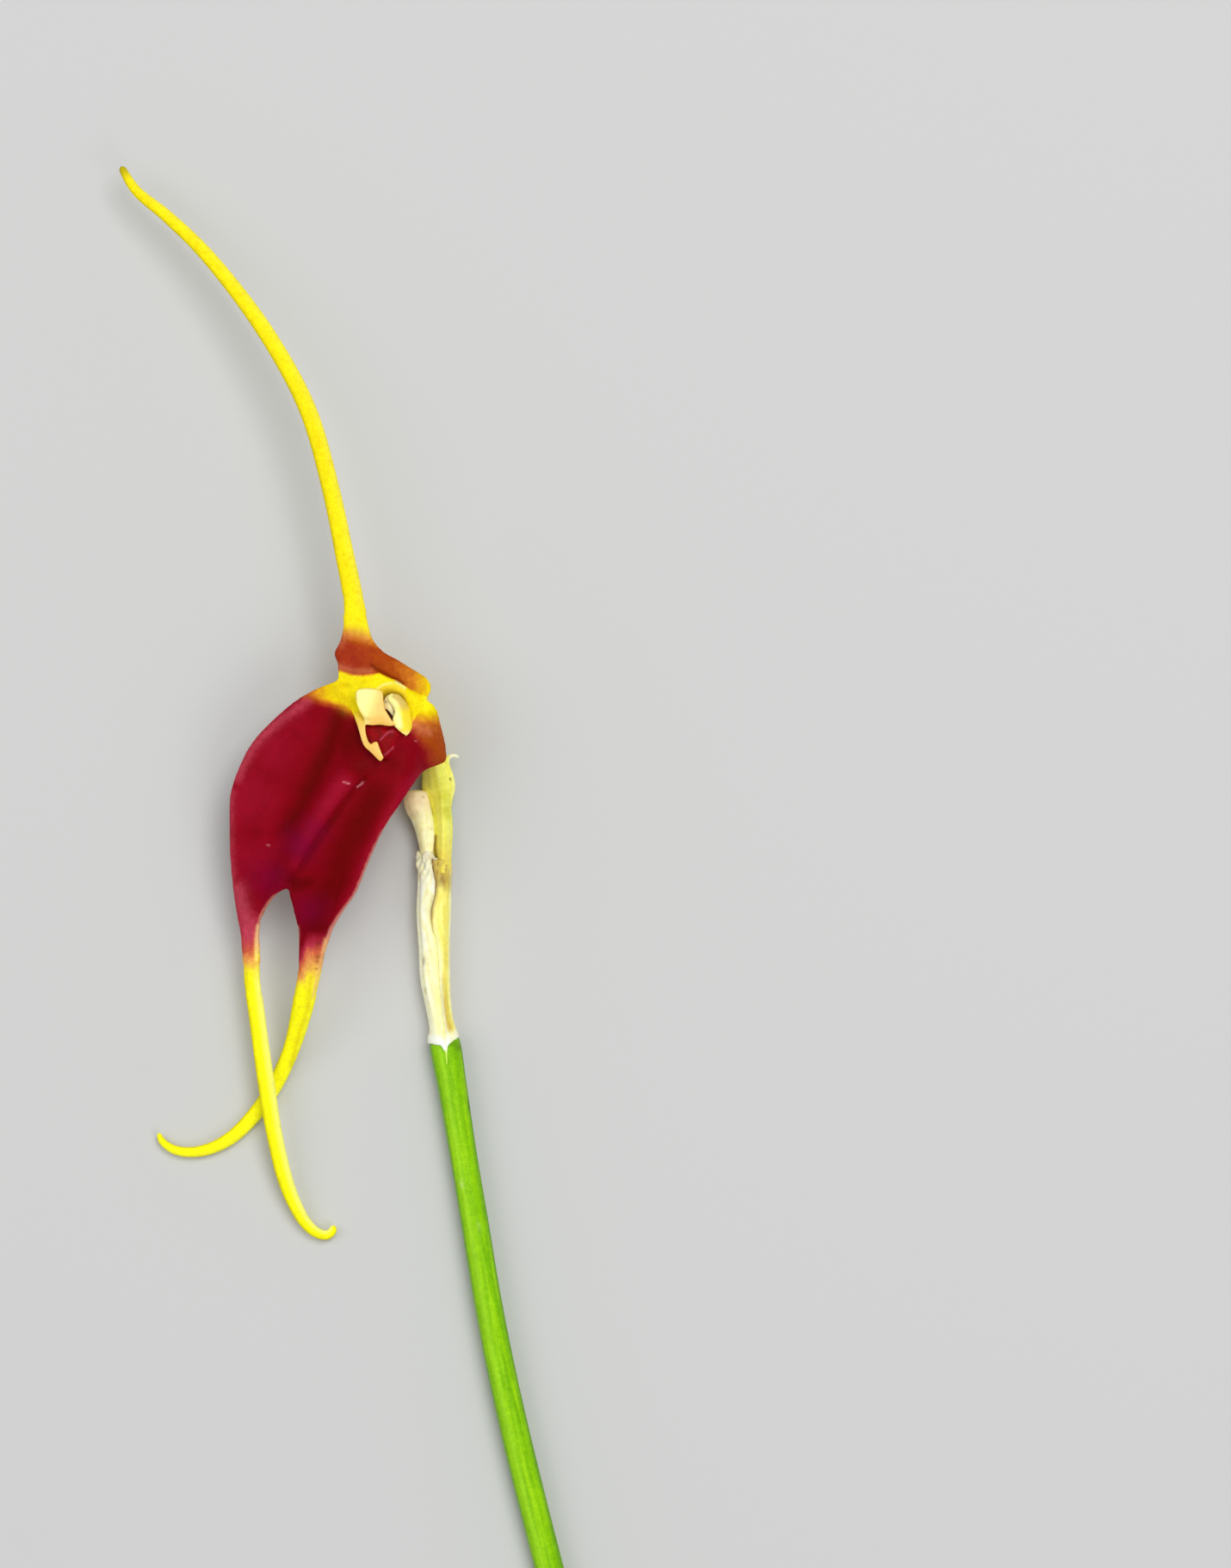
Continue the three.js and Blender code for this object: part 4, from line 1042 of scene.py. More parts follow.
# The papery sheath: a sheet wrapped once round and a little over itself, torn at the top.
sheath = {
    "wall": 0.16,
    "spine": [
        (3.84, -22.7, 1.18, 1.0, 1.04), (3.82, -22.45, 1.18, 1.01, 1.06), (3.8, -22.05, 1.16, 0.88, 0.94),
        (3.67, -21.3, 1.14, 0.8, 0.88), (3.5, -20.2, 1.14, 0.82, 0.92), (3.27, -18.4, 1.15, 0.96, 1.0),
        (3.19, -16.2, 1.15, 1.01, 1.02), (3.15, -13.7, 1.15, 1.13, 1.06), (3.22, -11.7, 1.14, 1.11, 0.97),
        (3.25, -9.5, 1.1, 1.16, 0.8),
    ],
    # degrees from the foot to the top
    "freeEdge": ((0, 0.15, 0.23, 0.41, 0.5, 0.57, 0.61, 0.67, 0.73, 0.82, 0.88, 0.95, 1),
                 (103, 105, 108, 110, 106, 99, 90, 83, 84, 94, 95, 85, 82)),
    "overlap": 26,
    "slope": 0.085,  # how much shorter the right side is, as a share of the length
    "tear": (0.008, 0.018, 0.003),  # depth of the notches in the top edge
    "tuck": 0.2,
    "lift": 0.05,
    "grooveDepth": 0.07,
    "midrib": 98,
    "groove": ((0, 0.27, 0.5), (122, 126, 130)),
    # how far the collar's lower edge hangs at the midrib, over how many degrees
    "collarHang": ((0.45, 12), (0.27, 42)),
    "collarSides": (0.12, 0.1),  # how far it drops on the left and rises on the right
    "point": [(4.03, -22.9, 2.18, 0.2, 0.1), (4.06, -23.45, 2.22, 0.09, 0.09),
              (4.09, -24.0, 2.22, 0.06, 0.07), (4.12, -24.42, 2.2, 0.07, 0.06)],
    # degrees, share of the length, radius and strength of its brown marks
    "marks": [(406, 0.43, 0.5, 0.7), (398, 0.28, 0.4, 0.6), (118, 0.89, 0.8, 0.9), (95, 0.93, 0.4, 0.8)],
}


# How near a point of the sheath, in degrees, is to the groove down its front.
def nearGroove(degrees, v, width):
    return np.exp(-(((degrees - np.interp(v, *sheath["groove"])) / width) ** 2))


# Turns go from the left side over the front to the right side and round the back.
def makeSheath():
    line = smoothLine(sheath["spine"], 201)
    share = np.linspace(0, 1, 201)
    along = unit(np.gradient(line[:, :3], axis=0))
    toLeft = unit(np.cross((0, 0, 1), along))
    outwards = np.cross(along, toLeft)

    def rule(u, v):
        degrees = np.interp(v, *sheath["freeEdge"]) + u * (360 + sheath["overlap"])
        turn = np.radians(degrees)
        small, wide, fine = sheath["tear"]
        top = 1 - sheath["slope"] * smoothStep(-0.7, 0.9, -np.cos(turn))
        top = top + small * np.sin(7 * turn) + wide * np.sin(3.3 * turn + 1) + fine * np.sin(19 * turn)
        at = v * top
        centre, left, out, half = (
            np.column_stack([np.interp(at, share, column) for column in table.T])
            for table in (line[:, :3], toLeft, outwards, line[:, 3:5])
        )
        tucked = -sheath["tuck"] * smoothStep(0.8, 0.98, u) * smoothStep(0.0, 0.12, at)
        lifted = sheath["lift"] * smoothStep(0.05, 0.0, u) * smoothStep(0.35, 0.8, at)
        folds = (0.02 * np.sin(9 * turn) + 0.015 * np.sin(14 * turn + 5 * at)) * smoothStep(0.06, 0.2, at)
        crumpled = smoothStep(0.82, 0.93, at) * (
            0.07 * np.sin(7 * turn + 40 * at) + 0.05 * np.sin(15 * turn - 90 * at) + 0.02 * np.sin(31 * turn)
        )
        groove = -sheath["grooveDepth"] * nearGroove(degrees, v, 13)
        groove = groove * smoothStep(0.06, 0.12, at) * (1 - smoothStep(0.3, 0.5, at))
        grow = tucked + lifted + folds + crumpled + groove
        points = (
            centre
            + left * (np.cos(turn) * (half[:, 0] + grow))[:, None]
            + out * (np.sin(turn) * (half[:, 1] + grow))[:, None]
        )
        # the collar's lower edge is drawn out to a point at the midrib
        beside = (degrees - sheath["midrib"] + 180) % 360 - 180
        hang = sum(depth * np.exp(-((beside / width) ** 2)) for depth, width in sheath["collarHang"])
        drop, rise = sheath["collarSides"]
        hang = hang + drop * smoothStep(0.0, 0.5, np.cos(turn)) - rise * smoothStep(0.6, 1.0, -np.cos(turn))
        points[:, 1] -= hang * (1 - smoothStep(0.0, 0.09, v))
        return points

    piece, u, v = layGrid("papery_sheath", 150, 130, rule, asked=True)
    degrees = np.interp(v, *sheath["freeEdge"]) + u * (360 + sheath["overlap"])
    ochre = nearGroove(degrees, v, 17) * smoothStep(0.03, 0.07, v) * (1 - smoothStep(0.2, 0.42, v))
    marks = [(turn / 20, share * 20, *size) for turn, share, *size in sheath["marks"]]
    softEdge = smoothStep(0.0, 0.07, u) * (1 - v) + v
    # painted light: the golden fades to cream on the sheath's right side
    golden = (1 - 0.7 * smoothStep(146, 172, degrees)) * (1 - smoothStep(200, 260, degrees))
    golden = golden * smoothStep(0.025, 0.07, v) * softEdge
    addMask(piece, "golden", np.maximum(golden, 0.5 * smoothStep(400, 450, degrees) * (v < 0.8)))
    addMask(piece, "torn", smoothStep(0.82, 0.95, v) * (1 - 0.7 * smoothStep(150, 300, degrees)))
    whiteSide = 1 - 0.8 * smoothStep(92, 130, (degrees + 90) % 360 - 90)
    addMask(piece, "collar", (1 - smoothStep(0.02, 0.05, v)) * whiteSide)
    # painted shadow: a dark line under the free edge, kept in the brown mask with the brown marks
    shadowUnderEdge = smoothStep(0.03, 0.0, u) * smoothStep(0.6, 0.7, v)
    addMask(piece, "brown", np.maximum(shadowUnderEdge, touches(np.c_[degrees / 20, v * 20], marks)))
    addMask(piece, "ochre", ochre)
    thicken(piece, sheath["wall"])
    point = growAlong("collarPoint", sheath["point"], 24, 12, foot=0.2, tip=0.1)
    addMask(point, "leafy", smoothStep(23.2, 23.7, -readPoints(point)[:, 1] / mm + mouthInPart[1]))
    joinPieces(piece, point)
    setDown(piece)
    return piece


papery = {"Subsurface_Weight": 0.1, "Subsurface_Scale": 0.0004}


def sheathSkin():
    skin = newSkin("papery sheath", **papery)
    tree = skin.node_tree
    lines = noise(tree, fibrePlace(tree, 1.4), 5.0, 4.0)
    blots = noise(tree, objectPlace(tree), 900.0, 4.0)
    cream = ramp(tree, lines, [(0.3, (254, 248, 184)), (0.6, (255, 255, 228))])
    gold = ramp(tree, frayed(tree, lines, blots, 0.3), [
        (0.2, (236, 206, 72)), (0.45, (252, 236, 104)), (0.7, (255, 250, 140)),
    ])
    colour = blend(tree, mask(tree, "golden"), cream, gold)
    # the brown layer holds brown marks and the painted shadow under the free edge
    colour = layOver(tree, colour, [
        ("ochre", (196, 164, 40), 0.7), ("brown", (134, 92, 34), 0.8, blots, 0.6),
        ("torn", (160, 118, 30), 0.6, blots, 1.5), ("collar", (250, 252, 236), 1.0),
        ("leafy", (208, 246, 90), 1.0),
    ])
    return coverSkin(skin, colour, [(2500.0, 0.1), (700.0, 0.04)], cells=(5000.0, 0.3),
                     swells=(1500.0, 1.0), depth=0.00003, roughness=(0.55, 0.2))


mount(makeSheath(), "sheath_bract", sheathSkin())

# The dry cream pedicel of an earlier flower, with its swollen scar.
spent = {
    "spine": [
        (2.74, -10.8, 1.15, 0.42, 0.42), (2.68, -9.3, 1.3, 0.5, 0.5), (2.64, -8.6, 1.36, 0.6, 0.55),
        (2.5, -7.6, 1.4, 0.72, 0.62), (2.3, -6.9, 1.42, 0.8, 0.68), (2.08, -6.3, 1.45, 0.9, 0.76),
        (1.97, -5.8, 1.48, 0.88, 0.76), (1.98, -5.4, 1.5, 0.78, 0.66), (1.98, -5.14, 1.5, 0.66, 0.56),
    ],
    "ribs": 5,
    "ribDepth": 0.03,
    "wrinkle": 0.02,
    "flecks": [(2.45, -5.65, 0.06, 1.0), (3.05, -7.9, 0.05, 0.8), (1.9, -6.9, 0.25, 0.35)],
}


def makeSpent():
    piece = growAlong("spent_pedicel", spent["spine"], 90, 48,
                      ribs=spent["ribs"], ribDepth=spent["ribDepth"], tip=0.22)
    points = readDrawn(piece)
    x, y = points[:, 0], points[:, 1]
    wrinkles = spent["wrinkle"] * np.sin(16 * x + 3 * np.sin(5 * y)) * np.sin(9 * y)
    points[:, 2] += wrinkles * smoothStep(-9.0, -7.5, y)
    writePoints(piece, inPart(points))
    addMask(piece, "scar", smoothStep(-7.6, -5.6, y - 0.2 * (x - 2)))
    addMask(piece, "fleck", touches(points, spent["flecks"]))
    return piece


def spentSkin():
    skin = newSkin("dry cream pedicel", **papery)
    tree = skin.node_tree
    streaks = noise(tree, fibrePlace(tree, 0.25), 4.0, 4.0)
    cream = ramp(tree, streaks, [(0.3, (253, 240, 158)), (0.55, (255, 252, 192)), (0.8, (255, 255, 220))])
    blots = noise(tree, objectPlace(tree), 900.0)
    colour = layOver(tree, cream, [
        ("scar", (252, 222, 170), 0.8, blots, 0.9), ("fleck", (170, 120, 60), 1.0),
    ])
    return coverSkin(skin, colour, [(2600.0, 0.12), (700.0, 0.05)], cells=(5000.0, 0.3),
                     swells=(1400.0, 1.0), depth=0.00004, roughness=(0.55, 0.2))


mount(makeSpent(), "old_pedicel", spentSkin())

# The boat-shaped bract, with a thin flange on its right and a small curled point.
boat = {
    "thick": 0.2,
    "crown": 0.75,
    "left": [
        (3.2, -11.0, 1.1), (3.18, -9.9, 1.0), (3.16, -8.6, 0.95), (3.14, -7.5, 0.95), (3.04, -6.6, 0.9),
        (2.8, -5.8, 0.9), (2.42, -5.2, 0.95), (2.4, -4.5, 1.0), (2.45, -3.75, 1.2),
    ],
    "right": [
        (4.36, -11.0, 1.1), (4.34, -9.9, 1.0), (4.42, -8.2, 0.95), (4.4, -7.2, 0.95), (4.33, -6.4, 0.95),
        (4.46, -5.7, 0.95), (4.62, -5.1, 1.0), (4.6, -4.5, 1.05), (4.36, -3.7, 1.15), (4.12, -3.1, 1.3),
    ],
    "spur": [(4.05, -3.3, 1.6, 0.22, 0.16), (4.2, -2.9, 1.62, 0.16, 0.14), (4.5, -2.76, 1.6, 0.14, 0.13),
             (4.8, -2.82, 1.56, 0.12, 0.12), (4.9, -2.92, 1.54, 0.09, 0.09)],
    "shade": [(3.9, -5.6, 0.6, 0.9), (4.0, -6.6, 0.45, 1.0), (3.6, -4.8, 0.6, 0.5), (4.15, -7.0, 0.3, 0.9)],
    # painted shade in the gap between the pedicel and the bract
    "gapShade": ([(3.3, -8.4), (3.25, -9.0), (3.3, -9.6), (3.5, -10.2)], 0.12),
    "flecks": [(4.32, -4.38, 0.07, 1.0), (4.38, -4.5, 0.05, 0.8)],
}


def makeBoat():
    def hull(u, v, points):
        keel = np.exp(-(((u - 0.55) / 0.2) ** 2))
        flange = smoothStep(0.84, 0.98, u) * smoothStep(0.55, 0.75, v)
        points[:, 2] += 0.14 * keel + 0.015 * np.sin(26 * u) + 0.3 * flange
        return points

    piece = layGrid("boat_bract", 36, 90, betweenEdges(boat["left"], boat["right"], boat["crown"], hull))
    thicken(piece, boat["thick"])
    finishWith(piece, "SUBSURF", levels=1, render_levels=1)
    joinPieces(piece, growAlong("bractSpur", boat["spur"], 30, 14, tip=0.08))
    points = readDrawn(piece)
    x, y = points[:, 0], points[:, 1]
    addMask(piece, "white", smoothStep(4.15, 4.4, x) * smoothStep(-3.3, -3.0, y))
    addMask(piece, "shade", touches(points, boat["shade"]))
    addMask(piece, "foot", 1 - smoothStep(-10.2, -7.6, y))
    addMask(piece, "thin", smoothStep(4.3, 4.5, x) * smoothStep(-6.2, -5.6, y))
    # painted shade where the bract's edge meets the pedicel
    addMask(piece, "gapShade", stroke(points, *boat["gapShade"]))
    addMask(piece, "fleck", touches(points, boat["flecks"]))
    return piece


def boatSkin():
    skin = newSkin("yellow-green bract", **papery)
    tree = skin.node_tree
    lines = noise(tree, fibrePlace(tree, 0.8), 3.0, 4.0)
    place = objectPlace(tree)
    colour = ramp(tree, lines, [(0.3, (246, 240, 80)), (0.7, (255, 252, 124))])
    colour = layOver(tree, colour, [
        ("shade", (204, 204, 4), 0.8, noise(tree, place, 1500.0), 0.4),
        ("foot", (238, 204, 60), 0.6, noise(tree, place, 1200.0), 0.6), ("gapShade", (136, 92, 6), 0.8),
        ("thin", (248, 246, 150), 0.5), ("fleck", (60, 50, 16), 1.0), ("white", (252, 250, 214), 1.0),
    ])
    return coverSkin(skin, colour, [(2600.0, 0.1), (700.0, 0.05)], cells=(6000.0, 0.4),
                     swells=(1500.0, 0.8), depth=0.00003, roughness=(0.45, 0.2))


mount(makeBoat(), "flower_bract", boatSkin())

# The ribbed ovary under the bract.
ovary = {
    "spine": [
        (3.95, -10.2, 0.62, 0.36, 0.36), (3.9, -8.4, 0.52, 0.4, 0.4), (3.78, -6.4, 0.5, 0.46, 0.46),
        (3.62, -5.0, 0.6, 0.52, 0.52), (3.35, -4.1, 0.85, 0.52, 0.5), (3.1, -3.5, 1.1, 0.5, 0.46),
    ],
    "ribs": 6,
    "ribDepth": 0.09,
}


def makeOvary():
    piece = growAlong("ribbed_ovary", ovary["spine"], 60, 48, ribs=ovary["ribs"], ribDepth=ovary["ribDepth"])
    setDown(piece)
    return piece


def ovarySkin():
    skin = newSkin("green ovary", Subsurface_Weight=0.08, Subsurface_Scale=0.0004)
    tree = skin.node_tree
    streaks = noise(tree, fibrePlace(tree, 0.3), 3.0)
    colour = ramp(tree, streaks, [(0.3, (132, 176, 16)), (0.7, (182, 214, 46))])
    return coverSkin(skin, colour, [(3000.0, 0.12), (700.0, 0.06)], cells=(6000.0, 0.4),
                     swells=(1500.0, 0.8), depth=0.00003, roughness=(0.4, 0.2))


mount(makeOvary(), "ovary", ovarySkin())


# What is joined is grown into one skin and softened.
def growTogether(*parts, voxel=0.044, soften=9):
    for part in parts:
        part.data.attributes.remove(part.data.attributes["fibre"])
    piece = joinPieces(*parts)
    finishWith(piece, "REMESH", mode="VOXEL", voxel_size=voxel * mm)
    finishWith(piece, "SMOOTH", factor=0.5, iterations=soften)
    return piece


# A claw or a foot is drawn in the tube's own directions.
def growClaw(name, spine, sides=16):
    return growAlong(name, inTubeSpine(spine), 40, sides, tubeAlong)


def drawPlate(name, left, right, thick, shape, across=30, along=50):
    plate = layGrid(name, across, along, betweenEdges(left, right, 0, shape))
    thicken(plate, thick)
    return plate


# The broad left petal, with the barbed strip that runs down from its corner.
broad = {
    "thick": 0.3,
    "left": [(-1.98, 1.78, 6.9), (-2.09, 1.6, 6.95), (-2.11, 1.14, 7.05), (-2.03, 0.78, 7.14),
             (-1.9, 0.46, 7.23), (-1.75, 0.15, 7.32), (-1.56, -0.15, 7.42), (-1.5, -0.4, 7.5),
             (-1.52, -0.62, 7.56)],
    "right": [(-0.27, 1.66, 7.22), (-0.24, 1.29, 7.32), (-0.2, 0.83, 7.45), (-0.1, 0.39, 7.55),
              (0.08, 0.1, 7.62), (0.26, -0.2, 7.7), (0.46, -0.44, 7.76), (0.64, -0.64, 7.8)],
    "claw": [(-6.4, -0.62, -0.05, 0.2, 0.2), (-4.0, -0.9, -0.1, 0.24, 0.24), (-2.0, -1.0, -0.1, 0.3, 0.28),
             (-0.3, -0.95, -0.1, 0.32, 0.32), (0.9, -0.75, -0.05, 0.35, 0.25)],
    "stripThick": 0.22,
    "stripLeft": [(-1.7, 1.1, 5.0), (-2.0, 0.7, 5.4), (-2.24, 0.3, 6.0), (-2.27, 0.0, 6.5),
                  (-2.2, -0.21, 6.8), (-1.95, -0.83, 7.45), (-1.79, -1.39, 7.74), (-1.59, -1.96, 7.9),
                  (-1.42, -2.22, 7.95), (-1.12, -2.48, 8.02), (-0.8, -2.79, 8.08), (-0.54, -3.05, 8.12),
                  (-0.34, -3.14, 8.14)],
    "stripRight": [(-1.3, 1.1, 5.1), (-1.45, 0.6, 5.7), (-1.55, 0.1, 6.45), (-1.5, -0.35, 7.2),
                   (-1.48, -0.66, 7.52), (-1.46, -0.93, 7.66), (-1.43, -1.24, 7.74),
                   (-1.34, -1.6, 7.84), (-1.22, -1.88, 7.92), (-1.03, -2.03, 7.98),
                   (-0.82, -1.99, 8.04), (-0.7, -1.82, 8.06), (-0.62, -1.84, 8.08),
                   (-0.54, -2.05, 8.1), (-0.44, -2.34, 8.12), (-0.3, -2.7, 8.14), (-0.2, -2.94, 8.15)],
    # the course of the strip's left edge beside the petal: y, then x
    "stripEdge": ((-0.62, -0.15, 0.46, 0.8, 1.8), (-1.5, -1.6, -1.92, -2.04, -2.3)),
    # painted shade: a thin dark outline along the top left edge and a line where the petal meets the strip
    "rim": [
        ([(-2.1, 1.1), (-2.1, 1.7), (-1.9, 1.84), (-1.2, 1.88), (-0.6, 1.86), (-0.26, 1.68)], 0.07, 0.6),
        ([(-1.8, 0.2), (-1.55, -0.1), (-1.2, -0.24)], 0.1, 0.45),
    ],
}


def makeBroadPetal():
    def bend(u, v, points):
        points[:, 1] += 0.11 * np.sin(np.pi * u) * (1 - v) ** 6
        wave = 0.1 * np.exp(-(((u - 0.5) / 0.17) ** 2)) - 0.05 * np.exp(-(((u - 0.88) / 0.1) ** 2))
        points[:, 1] += wave * v**8
        points[:, 2] += 0.2 * np.sin(np.pi * u) * np.sin(np.pi * v) ** 0.5 + 0.04 * np.sin(8 * u) * v
        return points

    def flatten(u, v, points):
        points[:, 2] += 0.05 * np.sin(np.pi * u)
        return points

    plate = drawPlate("broad_petal", broad["left"], broad["right"], broad["thick"], bend)
    strip = drawPlate(
        "broadStrip", broad["stripLeft"], broad["stripRight"], broad["stripThick"], flatten, 14, 100
    )
    piece = growTogether(plate, strip, growClaw("broadClaw", broad["claw"]))
    points = readDrawn(piece)
    x, y = points[:, 0], points[:, 1]
    # the strip is golden with a yellow foot, and the petal turns peach towards its lower right, partly
    # its own tint and partly painted shade
    beside = x - np.interp(y, *broad["stripEdge"])
    onStrip = np.maximum(smoothStep(-0.5, -0.75, y), smoothStep(0.1, -0.06, beside))
    peach = 0.85 * smoothStep(-1.8, -0.5, x - 0.35 * (y - 0.4)) + 0.2 * smoothStep(0.2, -0.5, y)
    addMask(piece, "warm", np.maximum(0.85 * onStrip, np.minimum(peach, 0.95)))
    addMask(piece, "yellow", onStrip * smoothStep(-0.9, 0.5, y))
    # painted shade along the petal's edges
    addMask(piece, "rim", drawLines(points, broad["rim"]))
    return piece


# The narrow right petal: a curved horn whose claw goes down the tube.
curved = {
    "claw": [(-6.4, 0.62, -0.05, 0.2, 0.2), (-4.0, 0.9, -0.1, 0.22, 0.26), (-2.0, 1.1, -0.1, 0.26, 0.38),
             (-0.4, 1.15, 0.2, 0.28, 0.46), (0.3, 1.15, 0.2, 0.28, 0.46)],
    "thick": 0.32,
    "left": [(0.46, 1.47, 6.9), (0.28, 1.42, 6.94), (0.17, 1.27, 7.0), (0.25, 1.05, 7.06),
             (0.48, 0.75, 7.12), (0.64, 0.41, 7.2), (0.65, 0.15, 7.28), (0.56, -0.1, 7.36),
             (0.5, -0.36, 7.44), (0.56, -0.6, 7.5), (0.78, -0.8, 7.54), (1.03, -1.04, 7.58),
             (1.2, -1.24, 7.62), (1.33, -1.42, 7.66)],
    "right": [(0.5, 1.48, 6.9), (0.68, 1.43, 6.84), (0.87, 1.29, 6.8), (1.09, 1.06, 6.78),
              (1.3, 0.76, 6.8), (1.49, 0.42, 6.86), (1.54, 0.08, 6.92), (1.61, -0.3, 7.02),
              (1.7, -0.66, 7.15), (1.58, -1.0, 7.36), (1.36, -1.42, 7.64)],
    # the course of the outer edge: y, then x
    "outerEdge": ((-1.33, -1.0, -0.66, -0.3, 0.1, 0.78, 1.31), (1.4, 1.54, 1.64, 1.57, 1.49, 1.26, 0.8)),
}


def makeCurvedPetal():
    def rounded(u, v, points):
        points[:, 2] += 0.3 * np.sin(np.pi * u) ** 0.8 * smoothStep(0.0, 0.2, v) * smoothStep(1.0, 0.75, v)
        return points

    horn = drawPlate("curved_petal", curved["left"], curved["right"], curved["thick"], rounded, 24, 60)
    piece = growTogether(horn, growClaw("curvedClaw", curved["claw"]))
    points = readDrawn(piece)
    x, y = points[:, 0], points[:, 1]
    inwards = np.interp(y, *curved["outerEdge"]) - x
    yellow = smoothStep(0.7, 0.35, inwards) * smoothStep(-1.3, -0.9, y)
    # warmer towards its outer edge as painted shade, and towards its tip
    addMask(piece, "warm", 0.25 * smoothStep(0.9, 0.3, inwards) + 0.3 * (1 - smoothStep(-1.3, -0.6, y)))
    addMask(piece, "yellow", yellow * (1 - smoothStep(0.3, 1.0, y)))
    # painted shade: a darker ochre rim along the upper outer edge
    addMask(piece, "rim", 0.8 * smoothStep(0.6, 0.25, inwards) * smoothStep(0.1, 0.8, y))
    return piece


waxy = {"Specular_IOR_Level": 0.4, "Subsurface_Weight": 0.12, "Subsurface_Scale": 0.0003}


def petalSkin():
    skin = newSkin("waxy cream petal", **waxy)
    tree = skin.node_tree
    warm = frayed(tree, mask(tree, "warm"), noise(tree, objectPlace(tree), 1300.0), 0.3)
    colour = ramp(tree, warm, [
        (0.0, (255, 252, 160)), (0.35, (254, 238, 140)), (0.7, (250, 214, 112)), (1.0, (240, 190, 88)),
    ])
    # the rim layer is painted shade
    colour = layOver(tree, colour, [("yellow", (253, 226, 30), 0.95), ("rim", (196, 152, 50), 0.75)])
    return coverSkin(skin, colour, [(3000.0, 0.08)], cells=(7000.0, 0.3), swells=(1800.0, 0.6),
                     depth=0.00002, roughness=(0.4, 0.2))


creamSkin = petalSkin()
mount(makeBroadPetal(), "petal_left", creamSkin)
mount(makeCurvedPetal(), "petal_right", creamSkin)

# The dark lip: a folded tongue with a glossy skin.
lip = {
    "thick": 0.36,
    "left": [(-1.56, -0.36, 7.0), (-1.46, -1.08, 7.25), (-1.3, -1.68, 7.48), (-0.96, -2.12, 7.6),
             (-0.54, -2.54, 7.7), (-0.24, -2.98, 7.74)],
    "right": [(0.96, -0.5, 6.9), (1.3, -1.2, 6.95), (1.06, -1.86, 6.98), (0.62, -2.36, 7.08),
              (0.18, -2.78, 7.24), (-0.1, -3.04, 7.4)],
    "foot": [(-6.4, 0.0, -0.64, 0.24, 0.2), (-3.6, 0.0, -1.0, 0.4, 0.25), (-1.8, 0.1, -1.05, 0.5, 0.26),
             (-0.5, 0.1, -1.05, 0.55, 0.28), (0.4, 0.05, -1.3, 0.6, 0.28)],
    "sheen": [
        ([(0.42, -1.12), (0.22, -1.1), (-0.05, -1.3), (-0.42, -1.66)], 0.07, 0.9),
        ([(0.46, -2.2), (0.2, -2.45), (-0.1, -2.7)], 0.08, 0.8),
        ([(0.9, -1.4), (1.2, -1.46)], 0.08, 0.5),
    ],
}


def makeLip():
    def folds(u, v, points):
        channel = -0.05 * np.exp(-(((u - 0.42) / 0.14) ** 2)) * smoothStep(0.1, 0.4, v)
        points[:, 2] += 0.15 * np.sin(np.pi * u) + 0.035 * np.sin(9 * u + 3 * v) * (1 - 0.6 * v) + channel
        return points

    plate = drawPlate("dark_lip", lip["left"], lip["right"], lip["thick"], folds)
    piece = growTogether(plate, growClaw("lipFoot", lip["foot"], 18))
    points = readDrawn(piece)
    addMask(piece, "sheen", drawLines(points, lip["sheen"]))
    addMask(piece, "magenta", smoothStep(-0.6, 0.6, points[:, 0] - 0.3 * (points[:, 1] + 1.8)))
    return piece


def lipSkin():
    skin = newSkin("dark crimson lip", Specular_IOR_Level=0.05)
    tree = skin.node_tree
    uneven = noise(tree, objectPlace(tree), 2200.0, 4.0)
    colour = ramp(tree, uneven, [(0.3, (116, 0, 0)), (0.7, (150, 0, 8))])
    colour = layOver(tree, colour, [
        ("magenta", (142, 0, 24), 0.3), ("sheen", (200, 84, 108), 0.5, uneven, 0.7),
    ])
    return coverSkin(skin, colour, [(3000.0, 0.12)], cells=(6000.0, 0.4), swells=(1500.0, 1.0),
                     depth=0.00002, roughness=(0.45, 0.25))


mount(makeLip(), "lip", lipSkin())

# The column between the petals, with its cap, its hollow and a grey spot.
column = {
    "spine": [(-6.4, 0.0, 0.4, 0.3, 0.3), (-4.2, 0.0, 0.55, 0.4, 0.4), (-2.4, 0.05, 0.65, 0.46, 0.44),
              (-0.9, 0.2, 0.4, 0.5, 0.46)],
    "cap": [(0.3, 0.5, 5.8, 0.45, 0.5), (0.24, 0.54, 6.4, 0.5, 0.84), (0.22, 0.56, 6.8, 0.5, 0.92),
            (0.22, 0.58, 7.06, 0.38, 0.76)],
    # the hollow slants down to the right beside the broad petal
    "hollow": {"at": (0.22, 0.0, 7.0), "size": (0.14, 0.48, 0.34), "slant": (0.8, 0.6)},
    # painted shade: the dark wedge below the hollow
    "wedge": ([(-0.06, 0.36), (0.2, 0.04), (0.44, -0.34)], 0.17),
    "spots": [(-0.06, 0.97, 0.1, 1.0), (0.55, 0.27, 0.08, 0.9)],
}


